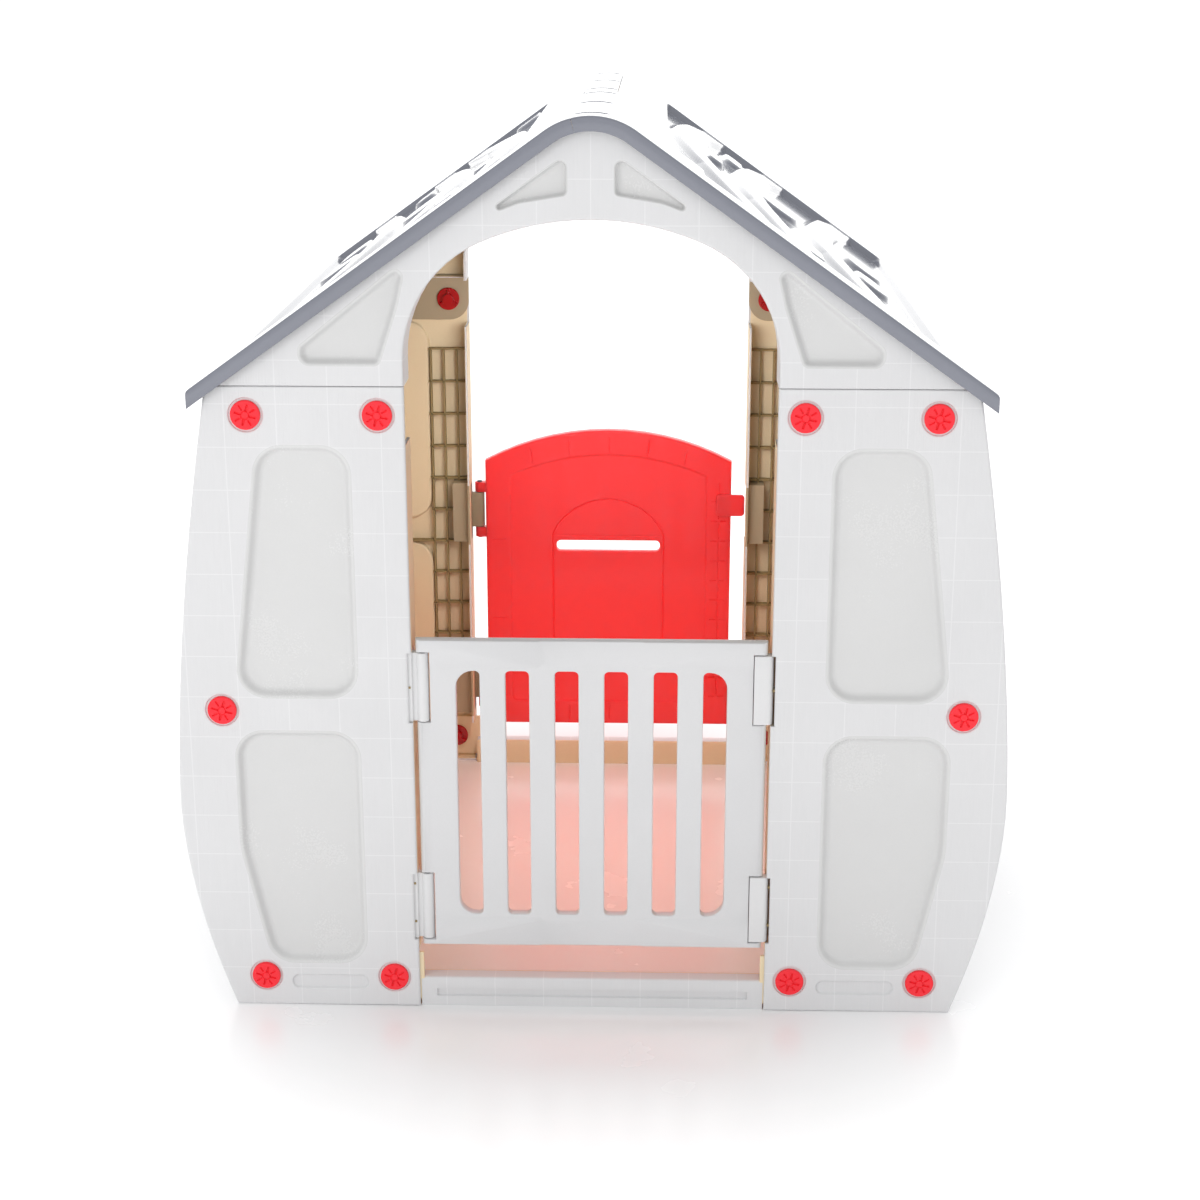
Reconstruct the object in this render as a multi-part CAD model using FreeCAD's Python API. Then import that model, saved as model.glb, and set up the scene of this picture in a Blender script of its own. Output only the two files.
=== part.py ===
import FreeCAD, Part
import math
import os

# Child's plastic playhouse. Millimetres, +Z up, the front faces -Y.
# The origin is on the floor, under the middle of the house.

# Overall size
BASE_HALF = 452.0         # half width of the walls at the floor
BULGE_HALF = 510.0        # half width where the side walls bulge most
EAVE_HALF = 452.0         # half width at the top of the wall panels
BULGE_Z = 280.0           # height of the widest place
SEAM_Z = 801.0            # top of the wall panels, foot of the gables
FACE_Y = 436.0            # half depth over the front and rear wall faces
ROOF_OVERHANG = 14.0      # past the wall faces, front and rear
EAVE_OVERHANG = 19.0      # past the top of the side walls
ROOF_OVER_SEAM = 9.7      # the roof's surface over the top of the side walls
RIDGE_Z = 1111.0
CROWN_R = 90.5            # rounding of the ridge

# Mouldings
SKIN = 4.0                # wall thickness of every panel
GAP = 0.3                 # assembly clearance between mouldings
RIM_DEPTH = 20.0          # depth of a panel's outer and foot flange
JAMB_DEPTH = 52.0         # depth of the flange round the doorway
RIB_T = 2.5
RIB_DEPTH = 12.0
RIB_FIRST_Z = 117.0
RIB_PITCH_Z = 52.0
RIB_PITCH_X = 20.5
RIB_COUNT_X = 3
RECESS_DEPTH = 8.0
RECESS_JAMB_MARGIN = 67.0
RECESS_MARGIN = 70.0
RECESS_SEAM_MARGIN = 72.0
RECESS_GAP = (371.0, 417.0)     # plain skin between the lower and the upper sunk field
RECESS_FOOT = 61.0
RECESS_R = 34.0
FOOT_SLOT_MARGIN = 65.0
FOOT_SLOT_LENGTH = 98.0
FOOT_SLOT_Z = (23.0, 43.0)
FOOT_SLOT_DEPTH = 2.0

# Doorways: jambs, arch and hinge pockets
DOOR_HALF = 218.0
ARCH_RISE = 164.0
ARCH_SHOULDER_R = 150.0
ARCH_SPRING_OVER_SEAM = 29.0
POCKET_HEIGHT = 90.0
POCKET_FOOT_INSET = 8.0   # of the lower pocket, over the gate's foot
POCKET_HEAD_INSET = 17.0  # of the upper pocket, under the gate's top
POCKET_REACH = 26.0
POCKET_DEPTH = 28.0
POCKET_MOUTH = 4.5
POCKET_WALL = 3.0

# Tongues and lugs that the screws clamp behind the panels
TONGUE_T = 4.0
GABLE_TONGUE_DROP = 67.0
TONGUE_PAST_SCREW = 28.0
SILL_TONGUE = (8.0, 74.0)
LUG_WIDTH = 56.0
LUG_HEIGHT = 28.0
COMB_FIRST_Z = 56.0
COMB_PITCH = 88.0
COMB_HEIGHT = 34.0
COMB_T = 3.5

# Sunk fields of the gables
PEAK_FIELD_INNER = 27.0   # half the plain strip between the two small fields at the peak
PEAK_FIELD_TIP = 132.0
PEAK_FIELD_KNEE = 82.0
PEAK_FIELD_OVER_ARCH = 28.0
GABLE_FIELD_UNDER_ROOF = 36.0
GABLE_FIELD_BAND = 26.0   # plain strip over the seam and along the roof
GABLE_FIELD_JAMB_MARGIN = 29.0
GABLE_FIELD_HEEL = 20.0
GABLE_FIELD_ARCH_Z = 66.0 # height over the spring where the field's edge bends round the arch

# Screws and winged nuts
SCREW_JAMB_INSET = 32.0
SCREW_EDGE_INSET = 53.0
SCREW_SEAM_INSET = 34.0
SCREW_MIDDLE_Z = 399.0
SCREW_FOOT_Z = 41.0
SCREW_HEAD_R = 17.75
SCREW_HEAD_T = 4.5
SCREW_SEAT_R = 20.5
SCREW_SEAT_DEPTH = 2.0
SHANK_R = 6.0
SHANK_LENGTH = 16.0
SHANK_CLEARANCE = 0.5
NUT_R = 17.5
NUT_T = 4.0
NUT_BOSS_R = 8.5
NUT_HEIGHT = 13.0
WING_WIDTH = 4.0
WING_HEIGHT = 9.0

# Side walls
WINDOW_SEAM_MARGIN = 131.0
WINDOW_HEIGHT = 240.0
WINDOW_HALF_Y = 140.0
WINDOW_R = 36.0
MULLION = 20.0
FRAME_WIDTH = 22.0
FRAME_DEPTH = 14.0

# Roof
ROOF_RIM = 21.0           # height of the roof's edge band
ROOF_FIELD_DEPTH = 10.0
ROOF_BORDER = 70.0
RELIEF_DATUM_X = 60.0     # slope distances are measured from the surface at this half width
FIELD_FROM = 34.0         # slope distance to the sunk field
EAVE_BORDER = 71.0        # plain surface between the sunk field and the eave
LAP_HALF = 22.0           # the ridge lap of each half reaches this far past the middle
RIDGE_SLOT_FIRST = 41.5   # from the middle of the house to the nearest slot
RIDGE_SLOT_END = 52.5     # from the last slot to the roof's end
RIDGE_SLOT = (42.0, 12.0, 3.0)
WAVE_WIDTH = 46.0
WAVE_HEIGHT = 8.0
WAVE_STATIONS = (1.0, 0.69, 0.16, -0.15, -0.46, -1.0)    # shares of the field's half length, rear to front
WAVE_LINES = ((122.0, 90.0, 69.0, 79.0, 110.0, 168.0),   # slope distance of each wave at the stations
              (232.0, 198.0, 170.0, 171.0, 187.0, 230.0),
              (358.0, 325.0, 295.0, 291.0, 302.0, 341.0))
PAD_HEIGHT = 7.0
PADS = ((156.0, 0.6, 36.0, 100.0), (117.0, 0.16, 28.0, 90.0), (219.0, 0.04, 66.0, 120.0),
        (361.0, 0.04, 62.0, 100.0), (359.0, -0.37, 52.0, 100.0), (253.0, -0.74, 38.0, 90.0),
        (70.0, -0.84, 46.0, 90.0))                       # slope distance, station, width, length

# Thresholds
SILL_HEIGHT = 39.0
SILL_SET_BACK = 4.0
SILL_DEPTH = 24.0
SILL_SIDE_GAP = 1.5

# Slatted gate
GATE_FOOT = 85.0
GATE_TOP = 491.0
GATE_SIDE_GAP = 4.5
GATE_T = 16.0
GATE_SET_BACK = 2.0
GATE_FRAME_SIDE = 48.5
GATE_FRAME_FOOT = 43.0
GATE_FRAME_TOP = 40.0
GATE_BARS = 5
GATE_SLOT = 29.0
GATE_SLOT_R = 8.0
GATE_RAISED_FROM = 62.0
GATE_RAISED = 2.0

# Tall door
DOOR_FOOT = 68.0
DOOR_CORNER_Z = 511.0
DOOR_APEX_Z = 561.0
DOOR_SIDE_GAP = 22.0
DOOR_T = 20.0
DOOR_SET_BACK = 2.0
DOOR_BORDER = 38.0
DOOR_FIELD_DEPTH = 3.0
LETTER_HALF = 83.0
LETTER_FOOT = 362.0
LETTER_HEIGHT = 18.0
MAILBOX_HALF = 90.0
MAILBOX_FOOT = 200.0
MAILBOX_SHOULDER = 392.0
MAILBOX_APEX = 450.0
MAILBOX_GROOVE = 3.0

# Hinges, the same for the gate and the door
PIN_R = 4.0
PIN_RUN = 0.08            # running clearance round a hinge pin
KNUCKLE_GAP = 0.5         # the knuckles are thinner than the gate by this much a side
KNUCKLE_END_GAP = 1.0
EYE_HEIGHT = 16.0
DOOR_PIN_GAP = 12.0       # from the jamb to the door's hinge line
LATCH_Z = (424.0, 459.0)
LATCH_T = 6.0
LATCH_IN = 24.0
LATCH_REACH = 21.0

# Sizes that follow from the ones above
ROOF_HALF_DEPTH = FACE_Y + ROOF_OVERHANG
ROOF_HALF_WIDTH = EAVE_HALF + EAVE_OVERHANG
ARCH_SPRING_Z = SEAM_Z + ARCH_SPRING_OVER_SEAM
GABLE_TONGUE_FOOT = SEAM_Z - GABLE_TONGUE_DROP
WINDOW_FOOT = SEAM_Z - WINDOW_SEAM_MARGIN - WINDOW_HEIGHT
POCKET_FOOTS = (GATE_FOOT + POCKET_FOOT_INSET, GATE_TOP - POCKET_HEAD_INSET - POCKET_HEIGHT)
JAMB_FOOT = SILL_TONGUE[1] + SKIN
JAMB_HEAD = GABLE_TONGUE_FOOT - SKIN
RIB_COUNT_Z = 1 + int((JAMB_HEAD - RIB_FIRST_Z) / RIB_PITCH_Z)
COMB_COUNT = 1 + int((GABLE_TONGUE_FOOT - COMB_FIRST_Z - COMB_HEIGHT) / COMB_PITCH)
GATE_HALF = DOOR_HALF - GATE_SIDE_GAP
GATE_PIN_INSET = GATE_T / 2.0
KNUCKLE_R = GATE_T / 2.0 - KNUCKLE_GAP
DOOR_LEAF_HALF = DOOR_HALF - DOOR_SIDE_GAP
DOOR_PIN_X = DOOR_HALF - DOOR_PIN_GAP
DOOR_PIN_SET_BACK = KNUCKLE_R + DOOR_SET_BACK - KNUCKLE_GAP


def vec(x, y, z):
    return FreeCAD.Vector(x, y, z)


def slab(x0, x1, y0, y1, z0, z1):
    """A plain block between two opposite corners."""
    return Part.makeBox(x1 - x0, y1 - y0, z1 - z0, vec(x0, y0, z0))


def edge_x(z):
    """Half width of the house at height z: widest at BULGE_Z, drawn in above and below."""
    if z >= BULGE_Z:
        return BULGE_HALF - (BULGE_HALF - EAVE_HALF) * ((z - BULGE_Z) / (SEAM_Z - BULGE_Z)) ** 1.58
    return BULGE_HALF - (BULGE_HALF - BASE_HALF) * ((BULGE_Z - z) / BULGE_Z) ** 1.8


def screw_places():
    """The five screws of a wall panel, as (x, z)."""
    top = SEAM_Z - SCREW_SEAM_INSET
    inner = DOOR_HALF + SCREW_JAMB_INSET
    return {
        "top_inner": (inner, top),
        "top_outer": (edge_x(top) - SCREW_EDGE_INSET, top),
        "middle": (edge_x(SCREW_MIDDLE_Z) - SCREW_EDGE_INSET, SCREW_MIDDLE_Z),
        "foot_inner": (inner, SCREW_FOOT_Z),
        "foot_outer": (edge_x(SCREW_FOOT_Z) - SCREW_EDGE_INSET, SCREW_FOOT_Z),
    }


def edge_curve(z0, z1, inset):
    """The side profile between two heights, moved inwards."""
    count = 3 + int(abs(z1 - z0) / 100.0)
    heights = [z0 + (z1 - z0) * i / (count - 1) for i in range(count)]
    curve = Part.BSplineCurve()
    curve.interpolate([vec(edge_x(z) - inset, 0, z) for z in heights])
    return curve.toShape()


def closed_face(edges):
    return Part.Face(Part.Wire(Part.__sortEdges__(edges)))


def prism(face, y0, y1):
    """Extrudes a face drawn at y = 0 from y0 to y1."""
    solid = face.extrude(vec(0, y1 - y0, 0))
    solid.translate(vec(0, y0, 0))
    return solid


def band(z0, z1, inset0, inset1, y0, y1):
    """A curved sheet that follows the side profile."""
    foot = Part.makeLine(vec(edge_x(z0) - inset0, 0, z0), vec(edge_x(z0) - inset1, 0, z0))
    head = Part.makeLine(vec(edge_x(z1) - inset0, 0, z1), vec(edge_x(z1) - inset1, 0, z1))
    face = closed_face([edge_curve(z0, z1, inset0), head, edge_curve(z0, z1, inset1), foot])
    return prism(face, y0, y1)


def rounded_wire(corners):
    """A closed outline in the XZ plane: each corner is (x, z, radius)."""
    edges = []
    ends = []
    count = len(corners)
    for i in range(count):
        x, z, radius = corners[i]
        here = vec(x, 0, z)
        back = (vec(corners[i - 1][0], 0, corners[i - 1][1]) - here).normalize()
        ahead_corner = corners[(i + 1) % count]
        ahead = (vec(ahead_corner[0], 0, ahead_corner[1]) - here).normalize()
        half = back.getAngle(ahead) / 2.0
        run = radius / math.tan(half)
        start = here + back * run
        stop = here + ahead * run
        middle = here + (back + ahead).normalize() * (radius / math.sin(half) - radius)
        if radius > 0:
            edges.append(Part.Arc(start, middle, stop).toShape())
        ends.append((start, stop))
    for i in range(count):
        start = ends[i][1]
        stop = ends[(i + 1) % count][0]
        if start.distanceToPoint(stop) > 0.01:
            edges.append(Part.makeLine(start, stop))
    return Part.Wire(Part.__sortEdges__(edges))


def rounded_prism(corners, y0, y1):
    return prism(Part.Face(rounded_wire(corners)), y0, y1)


def grown(corners, by):
    """Moves every corner of an outline outwards from its middle and opens its radii."""
    wire = rounded_wire(corners).makeOffset2D(by)
    return Part.Face(wire)


def post(radius, x, y, z0, z1):
    return Part.makeCylinder(radius, z1 - z0, vec(x, y, z0))


def peg(radius, x, z, y0, y1):
    """A round bar along Y."""
    return Part.makeCylinder(radius, y1 - y0, vec(x, y0, z), vec(0, 1, 0))


def mirror_x(shape):
    return shape.mirror(vec(0, 0, 0), vec(1, 0, 0))


def mirror_y(shape):
    return shape.mirror(vec(0, 0, 0), vec(0, 1, 0))


def turned(shape):
    """The same piece seen from the other end of the house."""
    copy = shape.copy()
    copy.rotate(vec(0, 0, 0), vec(0, 0, 1), 180)
    return copy


# ---- wall panels -------------------------------------------------------------------------

FRONT = -FACE_Y
BEHIND = FRONT + SKIN           # the inside of a front panel's skin


def recess_outlines():
    """The two sunk fields of a wall panel."""
    inner = DOOR_HALF + RECESS_JAMB_MARGIN
    low = RECESS_GAP[1]
    high = SEAM_Z - RECESS_SEAM_MARGIN
    upper = [(inner, low, RECESS_R), (edge_x(low) - RECESS_MARGIN, low, RECESS_R),
             (edge_x(high) - RECESS_MARGIN, high, RECESS_R), (inner, high, RECESS_R)]
    low = RECESS_FOOT
    high = RECESS_GAP[0]
    waist = (low + high) / 2.0
    lower = [(inner, low, RECESS_R), (edge_x(low) - RECESS_MARGIN, low, RECESS_R),
             (edge_x(waist) - RECESS_MARGIN, waist, 4 * RECESS_R),
             (edge_x(high) - RECESS_MARGIN, high, RECESS_R), (inner, high, RECESS_R)]
    return [upper, lower]


def panel_ribs():
    """Stiffening lattice on the inside of the skin."""
    ribs = []
    for i in range(RIB_COUNT_Z):
        z = RIB_FIRST_Z + i * RIB_PITCH_Z
        start = DOOR_HALF + SKIN / 2
        end = edge_x(z) - 3 * SKIN
        ribs.append(slab(start, end, BEHIND - 1, BEHIND + RIB_DEPTH, z - RIB_T / 2, z + RIB_T / 2))
    for i in range(RIB_COUNT_X):
        x = DOOR_HALF + (i + 1) * RIB_PITCH_X
        top = RIB_FIRST_Z + (RIB_COUNT_Z - 1) * RIB_PITCH_Z
        ribs.append(slab(x - RIB_T / 2, x + RIB_T / 2, BEHIND - 1, BEHIND + RIB_DEPTH, RIB_FIRST_Z, top))
    return ribs


def hinge_pocket(foot):
    """The box behind the jamb that takes a hinge block, and the hollow inside it."""
    head = foot + POCKET_HEIGHT
    deep = BEHIND + POCKET_DEPTH
    far = DOOR_HALF + POCKET_REACH
    wall = POCKET_WALL
    shell = slab(DOOR_HALF, far + wall, BEHIND - 1, deep + wall, foot - wall, head + wall)
    hollow = slab(DOOR_HALF - 1, far, BEHIND, deep, foot, head)
    mouth = slab(DOOR_HALF - 1, DOOR_HALF + POCKET_MOUTH, FRONT - 1, BEHIND + 1, foot, head)
    return shell, hollow.fuse(mouth)


def wall_panel():
    """The front right wall panel; the other three are its mirror images."""
    foot = Part.makeLine(vec(DOOR_HALF, 0, 0), vec(edge_x(0), 0, 0))
    head = Part.makeLine(vec(DOOR_HALF, 0, SEAM_Z), vec(edge_x(SEAM_Z), 0, SEAM_Z))
    jamb_line = Part.makeLine(vec(DOOR_HALF, 0, 0), vec(DOOR_HALF, 0, SEAM_Z))
    outline = closed_face([foot, edge_curve(0, SEAM_Z, 0), head, jamb_line])
    body = prism(outline, FRONT, BEHIND)
    solids = [slab(DOOR_HALF, DOOR_HALF + SKIN, BEHIND - 1, FRONT + JAMB_DEPTH, JAMB_FOOT, JAMB_HEAD),
              band(0, SEAM_Z, 0, SKIN, BEHIND - 1, FRONT + RIM_DEPTH),
              slab(DOOR_HALF, edge_x(0) - SKIN / 2, BEHIND - 1, FRONT + RIM_DEPTH, 0, SKIN)]
    solids += panel_ribs()
    hollows = []
    for pocket_foot in POCKET_FOOTS:
        shell, hollow = hinge_pocket(pocket_foot)
        solids.append(shell)
        hollows.append(hollow)
    for outline in recess_outlines():
        solids.append(prism(grown(outline, SKIN), BEHIND - 1, BEHIND + RECESS_DEPTH))
        hollows.append(rounded_prism(outline, FRONT - 1, FRONT + RECESS_DEPTH))
    for x, z in screw_places().values():
        hollows.append(peg(SCREW_SEAT_R, x, z, FRONT - 1, FRONT + SCREW_SEAT_DEPTH))
        hollows.append(peg(SHANK_R + SHANK_CLEARANCE, x, z, FRONT - 1, BEHIND + 1))
    x0 = DOOR_HALF + FOOT_SLOT_MARGIN
    x1 = x0 + FOOT_SLOT_LENGTH
    z0, z1 = FOOT_SLOT_Z
    slot_r = (z1 - z0) / 2.0 - 0.5
    slot = [(x0, z0, slot_r), (x1, z0, slot_r), (x1, z1, slot_r), (x0, z1, slot_r)]
    hollows.append(rounded_prism(slot, FRONT - 1, FRONT + FOOT_SLOT_DEPTH))
    return body.multiFuse(solids).cut(Part.makeCompound(hollows)).removeSplitter()


# ---- roof line, shared by the gables and the roof ----------------------------------------

def roof_slope():
    """The slope whose rounded crown tops out at the ridge and which clears the walls' top corners."""
    slope = math.pi / 5
    for _ in range(40):
        peak = RIDGE_Z + CROWN_R * (1.0 / math.cos(slope) - 1.0)
        slope = math.atan((peak - SEAM_Z - ROOF_OVER_SEAM) / EAVE_HALF)
    return slope


ROOF_SLOPE = roof_slope()
PEAK_Z = RIDGE_Z + CROWN_R * (1.0 / math.cos(ROOF_SLOPE) - 1.0)
CROWN_MID_Z = RIDGE_Z - CROWN_R


def slope_z(x, depth):
    """Height of a line parallel to the roof's slope, depth under its surface."""
    return PEAK_Z - abs(x) * math.tan(ROOF_SLOPE) - depth / math.cos(ROOF_SLOPE)


def roof_line(half, depth):
    """The edges of the roof's cross section at a depth under its surface."""
    radius = CROWN_R - depth
    tangent_x = radius * math.sin(ROOF_SLOPE)
    left = vec(-tangent_x, 0, slope_z(tangent_x, depth))
    right = vec(tangent_x, 0, slope_z(tangent_x, depth))
    crown = Part.Arc(left, vec(0, 0, CROWN_MID_Z + radius), right).toShape()
    left_run = Part.makeLine(vec(-half, 0, slope_z(half, depth)), left)
    right_run = Part.makeLine(right, vec(half, 0, slope_z(half, depth)))
    return [left_run, crown, right_run]


def under_roof(half, depth, floor_z):
    """The face between the roof line and a level foot."""
    foot = Part.makeLine(vec(-half, 0, floor_z), vec(half, 0, floor_z))
    left = Part.makeLine(vec(-half, 0, floor_z), vec(-half, 0, slope_z(half, depth)))
    right = Part.makeLine(vec(half, 0, floor_z), vec(half, 0, slope_z(half, depth)))
    return closed_face(roof_line(half, depth) + [foot, left, right])


# ---- gables --------------------------------------------------------------------------------

def doorway_face(grow, foot):
    """The doorway under its three-centred arch, grown outwards."""
    half = DOOR_HALF + grow
    shoulder = ARCH_SHOULDER_R + grow
    rise = ARCH_RISE + grow
    spread = DOOR_HALF - ARCH_SHOULDER_R
    crown = (spread ** 2 + rise ** 2 - shoulder ** 2) / (2.0 * (rise - shoulder))
    turn = math.atan2(spread, crown - rise)
    knee = vec(crown * math.sin(turn), 0, ARCH_SPRING_Z + rise - crown + crown * math.cos(turn))
    top = vec(0, 0, ARCH_SPRING_Z + rise)
    half_turn = (math.pi / 2 + turn) / 2.0
    middle = vec(spread + shoulder * math.sin(half_turn), 0, ARCH_SPRING_Z + shoulder * math.cos(half_turn))
    spring = vec(half, 0, ARCH_SPRING_Z)
    right_arc = Part.Arc(spring, middle, knee).toShape()
    left_arc = mirror_x(right_arc)
    crown_arc = Part.Arc(vec(-knee.x, 0, knee.z), top, knee).toShape()
    right_jamb = Part.makeLine(spring, vec(half, 0, foot))
    left_jamb = mirror_x(right_jamb)
    sill = Part.makeLine(vec(-half, 0, foot), vec(half, 0, foot))
    return closed_face([right_arc, crown_arc, left_arc, right_jamb, left_jamb, sill])


ROOF_STACK = ROOF_FIELD_DEPTH + SKIN + GAP      # the gables reach up to the underside of the sunk field


def roof_reach(depth, z):
    """Half width at which the line at a depth under the roof comes down to height z."""
    return (PEAK_Z - depth / math.cos(ROOF_SLOPE) - z) / math.tan(ROOF_SLOPE)


def gable_recesses():
    """Sunk fields: a small one beside the peak and a larger one over the arch's shoulder."""
    foot = ARCH_SPRING_Z + ARCH_RISE + PEAK_FIELD_OVER_ARCH
    inner = PEAK_FIELD_INNER
    under = GABLE_FIELD_UNDER_ROOF
    upper = [(inner, foot, 6), (PEAK_FIELD_KNEE, foot - 9, 60),
             (PEAK_FIELD_TIP, slope_z(PEAK_FIELD_TIP, under), 4), (inner, slope_z(inner, under), 8)]
    base = SEAM_Z + GABLE_FIELD_BAND
    heel = base + GABLE_FIELD_HEEL
    reach = roof_reach(under, heel)
    top_x = DOOR_HALF - 6
    bend_z = ARCH_SPRING_Z + GABLE_FIELD_ARCH_Z
    lower = [(DOOR_HALF + GABLE_FIELD_JAMB_MARGIN, base, 8), (reach, base, 12), (reach, heel, 10),
             (top_x, slope_z(top_x, GABLE_FIELD_BAND), 8), (DOOR_HALF + 6, bend_z, 80)]
    return [upper, lower]


def gable_tongue():
    """Plate that reaches down behind a wall panel and takes its two upper screws."""
    foot = GABLE_TONGUE_FOOT
    inner = DOOR_HALF + GAP
    end = screw_places()["top_outer"][0] + TONGUE_PAST_SCREW
    y0 = BEHIND + GAP
    outline = [(inner, foot, 30), (end, foot, 30), (end, SEAM_Z + SKIN, 1), (inner, SEAM_Z + SKIN, 1)]
    return rounded_prism(outline, y0, y0 + TONGUE_T)


def gable():
    """The front gable; the rear one is the same piece turned round."""
    foot = SEAM_Z + GAP
    whole = under_roof(roof_reach(ROOF_STACK, foot + SKIN), ROOF_STACK, foot)
    opening = doorway_face(0, foot - 10)
    body = prism(whole, FRONT, BEHIND)
    inside = under_roof(roof_reach(ROOF_STACK + SKIN, foot + SKIN + 1), ROOF_STACK + SKIN, foot + SKIN)
    rim = prism(whole, FRONT, FRONT + RIM_DEPTH).cut(prism(inside, FRONT - 1, FACE_Y))
    arch = prism(doorway_face(SKIN, foot).cut(opening), FRONT, FRONT + JAMB_DEPTH)
    arch = arch.common(slab(-EAVE_HALF, EAVE_HALF, FRONT, 0, foot, RIDGE_Z))
    tongue = gable_tongue()
    solids = [rim, arch, tongue, mirror_x(tongue)]
    hollows = [prism(opening, FRONT - 1, FRONT + JAMB_DEPTH + 1)]
    for outline in gable_recesses():
        for side in (lambda shape: shape, mirror_x):
            solids.append(side(prism(grown(outline, SKIN), BEHIND - 1, BEHIND + RECESS_DEPTH)))
            hollows.append(side(rounded_prism(outline, FRONT - 1, FRONT + RECESS_DEPTH)))
    for name in ("top_inner", "top_outer"):
        x, z = screw_places()[name]
        hole = peg(SHANK_R + SHANK_CLEARANCE, x, z, FRONT, FRONT + RIM_DEPTH)
        hollows += [hole, mirror_x(hole)]
    shape = body.multiFuse(solids).cut(Part.makeCompound(hollows))
    return shape.removeSplitter()


# ---- thresholds ------------------------------------------------------------------------------

def threshold():
    """Hollow sill between the feet of two panels, with a tongue behind each."""
    half = DOOR_HALF - SILL_SIDE_GAP
    y0 = FRONT + SILL_SET_BACK
    y1 = y0 + SILL_DEPTH
    shell = slab(-half, half, y0, y1, 0, SILL_HEIGHT)
    hollow = slab(-half + SKIN, half - SKIN, y0 + SKIN, y1 - SKIN, -1, SILL_HEIGHT - SKIN)
    slot = slab(-half + 20, half - 20, y0 - 1, y0 + 1.5, 13, 23)
    foot, head = SILL_TONGUE
    tongue_y = BEHIND + GAP
    x, z = screw_places()["foot_inner"]
    end = x + TONGUE_PAST_SCREW
    outline = [(half - SKIN, foot, 1), (end, foot, 10), (end, head, 10), (half - SKIN, head, 1)]
    tongue = rounded_prism(outline, tongue_y, tongue_y + TONGUE_T)
    tongue = tongue.cut(peg(SHANK_R + SHANK_CLEARANCE, x, z, FRONT, FRONT + RIM_DEPTH))
    return shell.cut(hollow).cut(slot).multiFuse([tongue, mirror_x(tongue)]).removeSplitter()


# ---- side walls ------------------------------------------------------------------------------

def yz_prism(corners, x0, x1):
    """A rounded outline given as (y, z, radius), extruded along X."""
    flat = Part.Face(rounded_wire(corners))
    flat.rotate(vec(0, 0, 0), vec(0, 0, 1), 90)
    solid = flat.extrude(vec(x1 - x0, 0, 0))
    solid.translate(vec(x0, 0, 0))
    return solid


def window_outline(grow):
    half = WINDOW_HALF_Y + grow
    low = WINDOW_FOOT - grow
    high = WINDOW_FOOT + WINDOW_HEIGHT + grow
    radius = WINDOW_R + grow
    return [(-half, low, radius), (half, low, radius), (half, high, radius), (-half, high, radius)]


def side_wall():
    """The right side wall: a curved sheet with a window, end combs and screw lugs."""
    end_y = FACE_Y - RIM_DEPTH - GAP
    skin = band(0, SEAM_Z, 0, SKIN, -end_y, end_y)
    thick = band(0, SEAM_Z, SKIN / 2, FRAME_DEPTH, -end_y + 2, end_y - 2)
    far = BULGE_HALF + 50
    near = BASE_HALF - 80
    glass = yz_prism(window_outline(0), near, far)
    frame = yz_prism(window_outline(FRAME_WIDTH), near, far).common(thick)
    rib_zone = band(0, SEAM_Z, SKIN / 2, RIB_DEPTH, -end_y + 20, end_y - 20)
    rib_cutters = []
    for i in range(RIB_COUNT_Z + 1):
        z = RIB_FIRST_Z + i * RIB_PITCH_Z
        rib_cutters.append(slab(near, far, -end_y, end_y, z - RIB_T / 2, z + RIB_T / 2))
    for i in range(-3, 4):
        y = i * 2 * RIB_PITCH_Z
        rib_cutters.append(slab(near, far, y - RIB_T / 2, y + RIB_T / 2, SKIN, SEAM_Z - SKIN))
    ribs = [rib_zone.common(cutter) for cutter in rib_cutters]
    solids = [frame, band(0, SKIN, SKIN / 2, RIM_DEPTH, -end_y, end_y)] + ribs
    for sign in (-1, 1):
        for i in range(COMB_COUNT):
            z0 = COMB_FIRST_Z + i * COMB_PITCH
            solids.append(comb_tooth(z0, sign))
        for name in ("middle", "foot_outer"):
            solids.append(screw_lug(name, sign))
    shape = skin.multiFuse(solids)
    bars = [slab(near, far, -MULLION / 2, MULLION / 2, 0, SEAM_Z)]
    bar_z = WINDOW_FOOT + WINDOW_HEIGHT / 2.0
    bars.append(slab(near, far, -end_y, end_y, bar_z - MULLION / 2, bar_z + MULLION / 2))
    panes = glass.cut(bars[0]).cut(bars[1])
    return shape.cut(panes).removeSplitter()


def comb_tooth(z0, sign):
    """One tooth that slides inside a panel's outer flange."""
    root_y = FACE_Y - RIM_DEPTH - GAP
    tip_y = FACE_Y - SKIN - 1.0
    inset = SKIN + GAP
    z1 = z0 + COMB_HEIGHT
    tooth = band(z0, z1, inset, inset + COMB_T, root_y - 12, tip_y)
    root = band(z0, z1, SKIN / 2, inset + COMB_T, root_y - 12, root_y)
    shape = tooth.fuse(root)
    if sign < 0:
        shape = mirror_y(shape)
    return shape


def screw_lug(name, sign):
    """A plate behind the panel's skin that a screw clamps, joined to the side wall."""
    x, z = screw_places()[name]
    y1 = FACE_Y - SKIN - GAP
    y0 = y1 - TONGUE_T
    root_y = FACE_Y - RIM_DEPTH - GAP
    low = z - LUG_HEIGHT / 2
    high = z + LUG_HEIGHT / 2
    reach = edge_x(high if z < BULGE_Z else low)
    plate = slab(x - LUG_WIDTH / 2, reach, y0, y1, low, high)
    plate = plate.common(band(low, high, SKIN + GAP, reach, y0 - 1, y1 + 1))
    web = band(low, high, SKIN + GAP, SKIN + GAP + COMB_T, root_y - 12, y1)
    root = band(low, high, SKIN / 2, SKIN + GAP + COMB_T, root_y - 12, root_y)
    shape = plate.multiFuse([web, root]).cut(peg(SHANK_R + SHANK_CLEARANCE, x, z, 0, FACE_Y))
    if sign < 0:
        shape = mirror_y(shape)
    return shape


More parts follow.
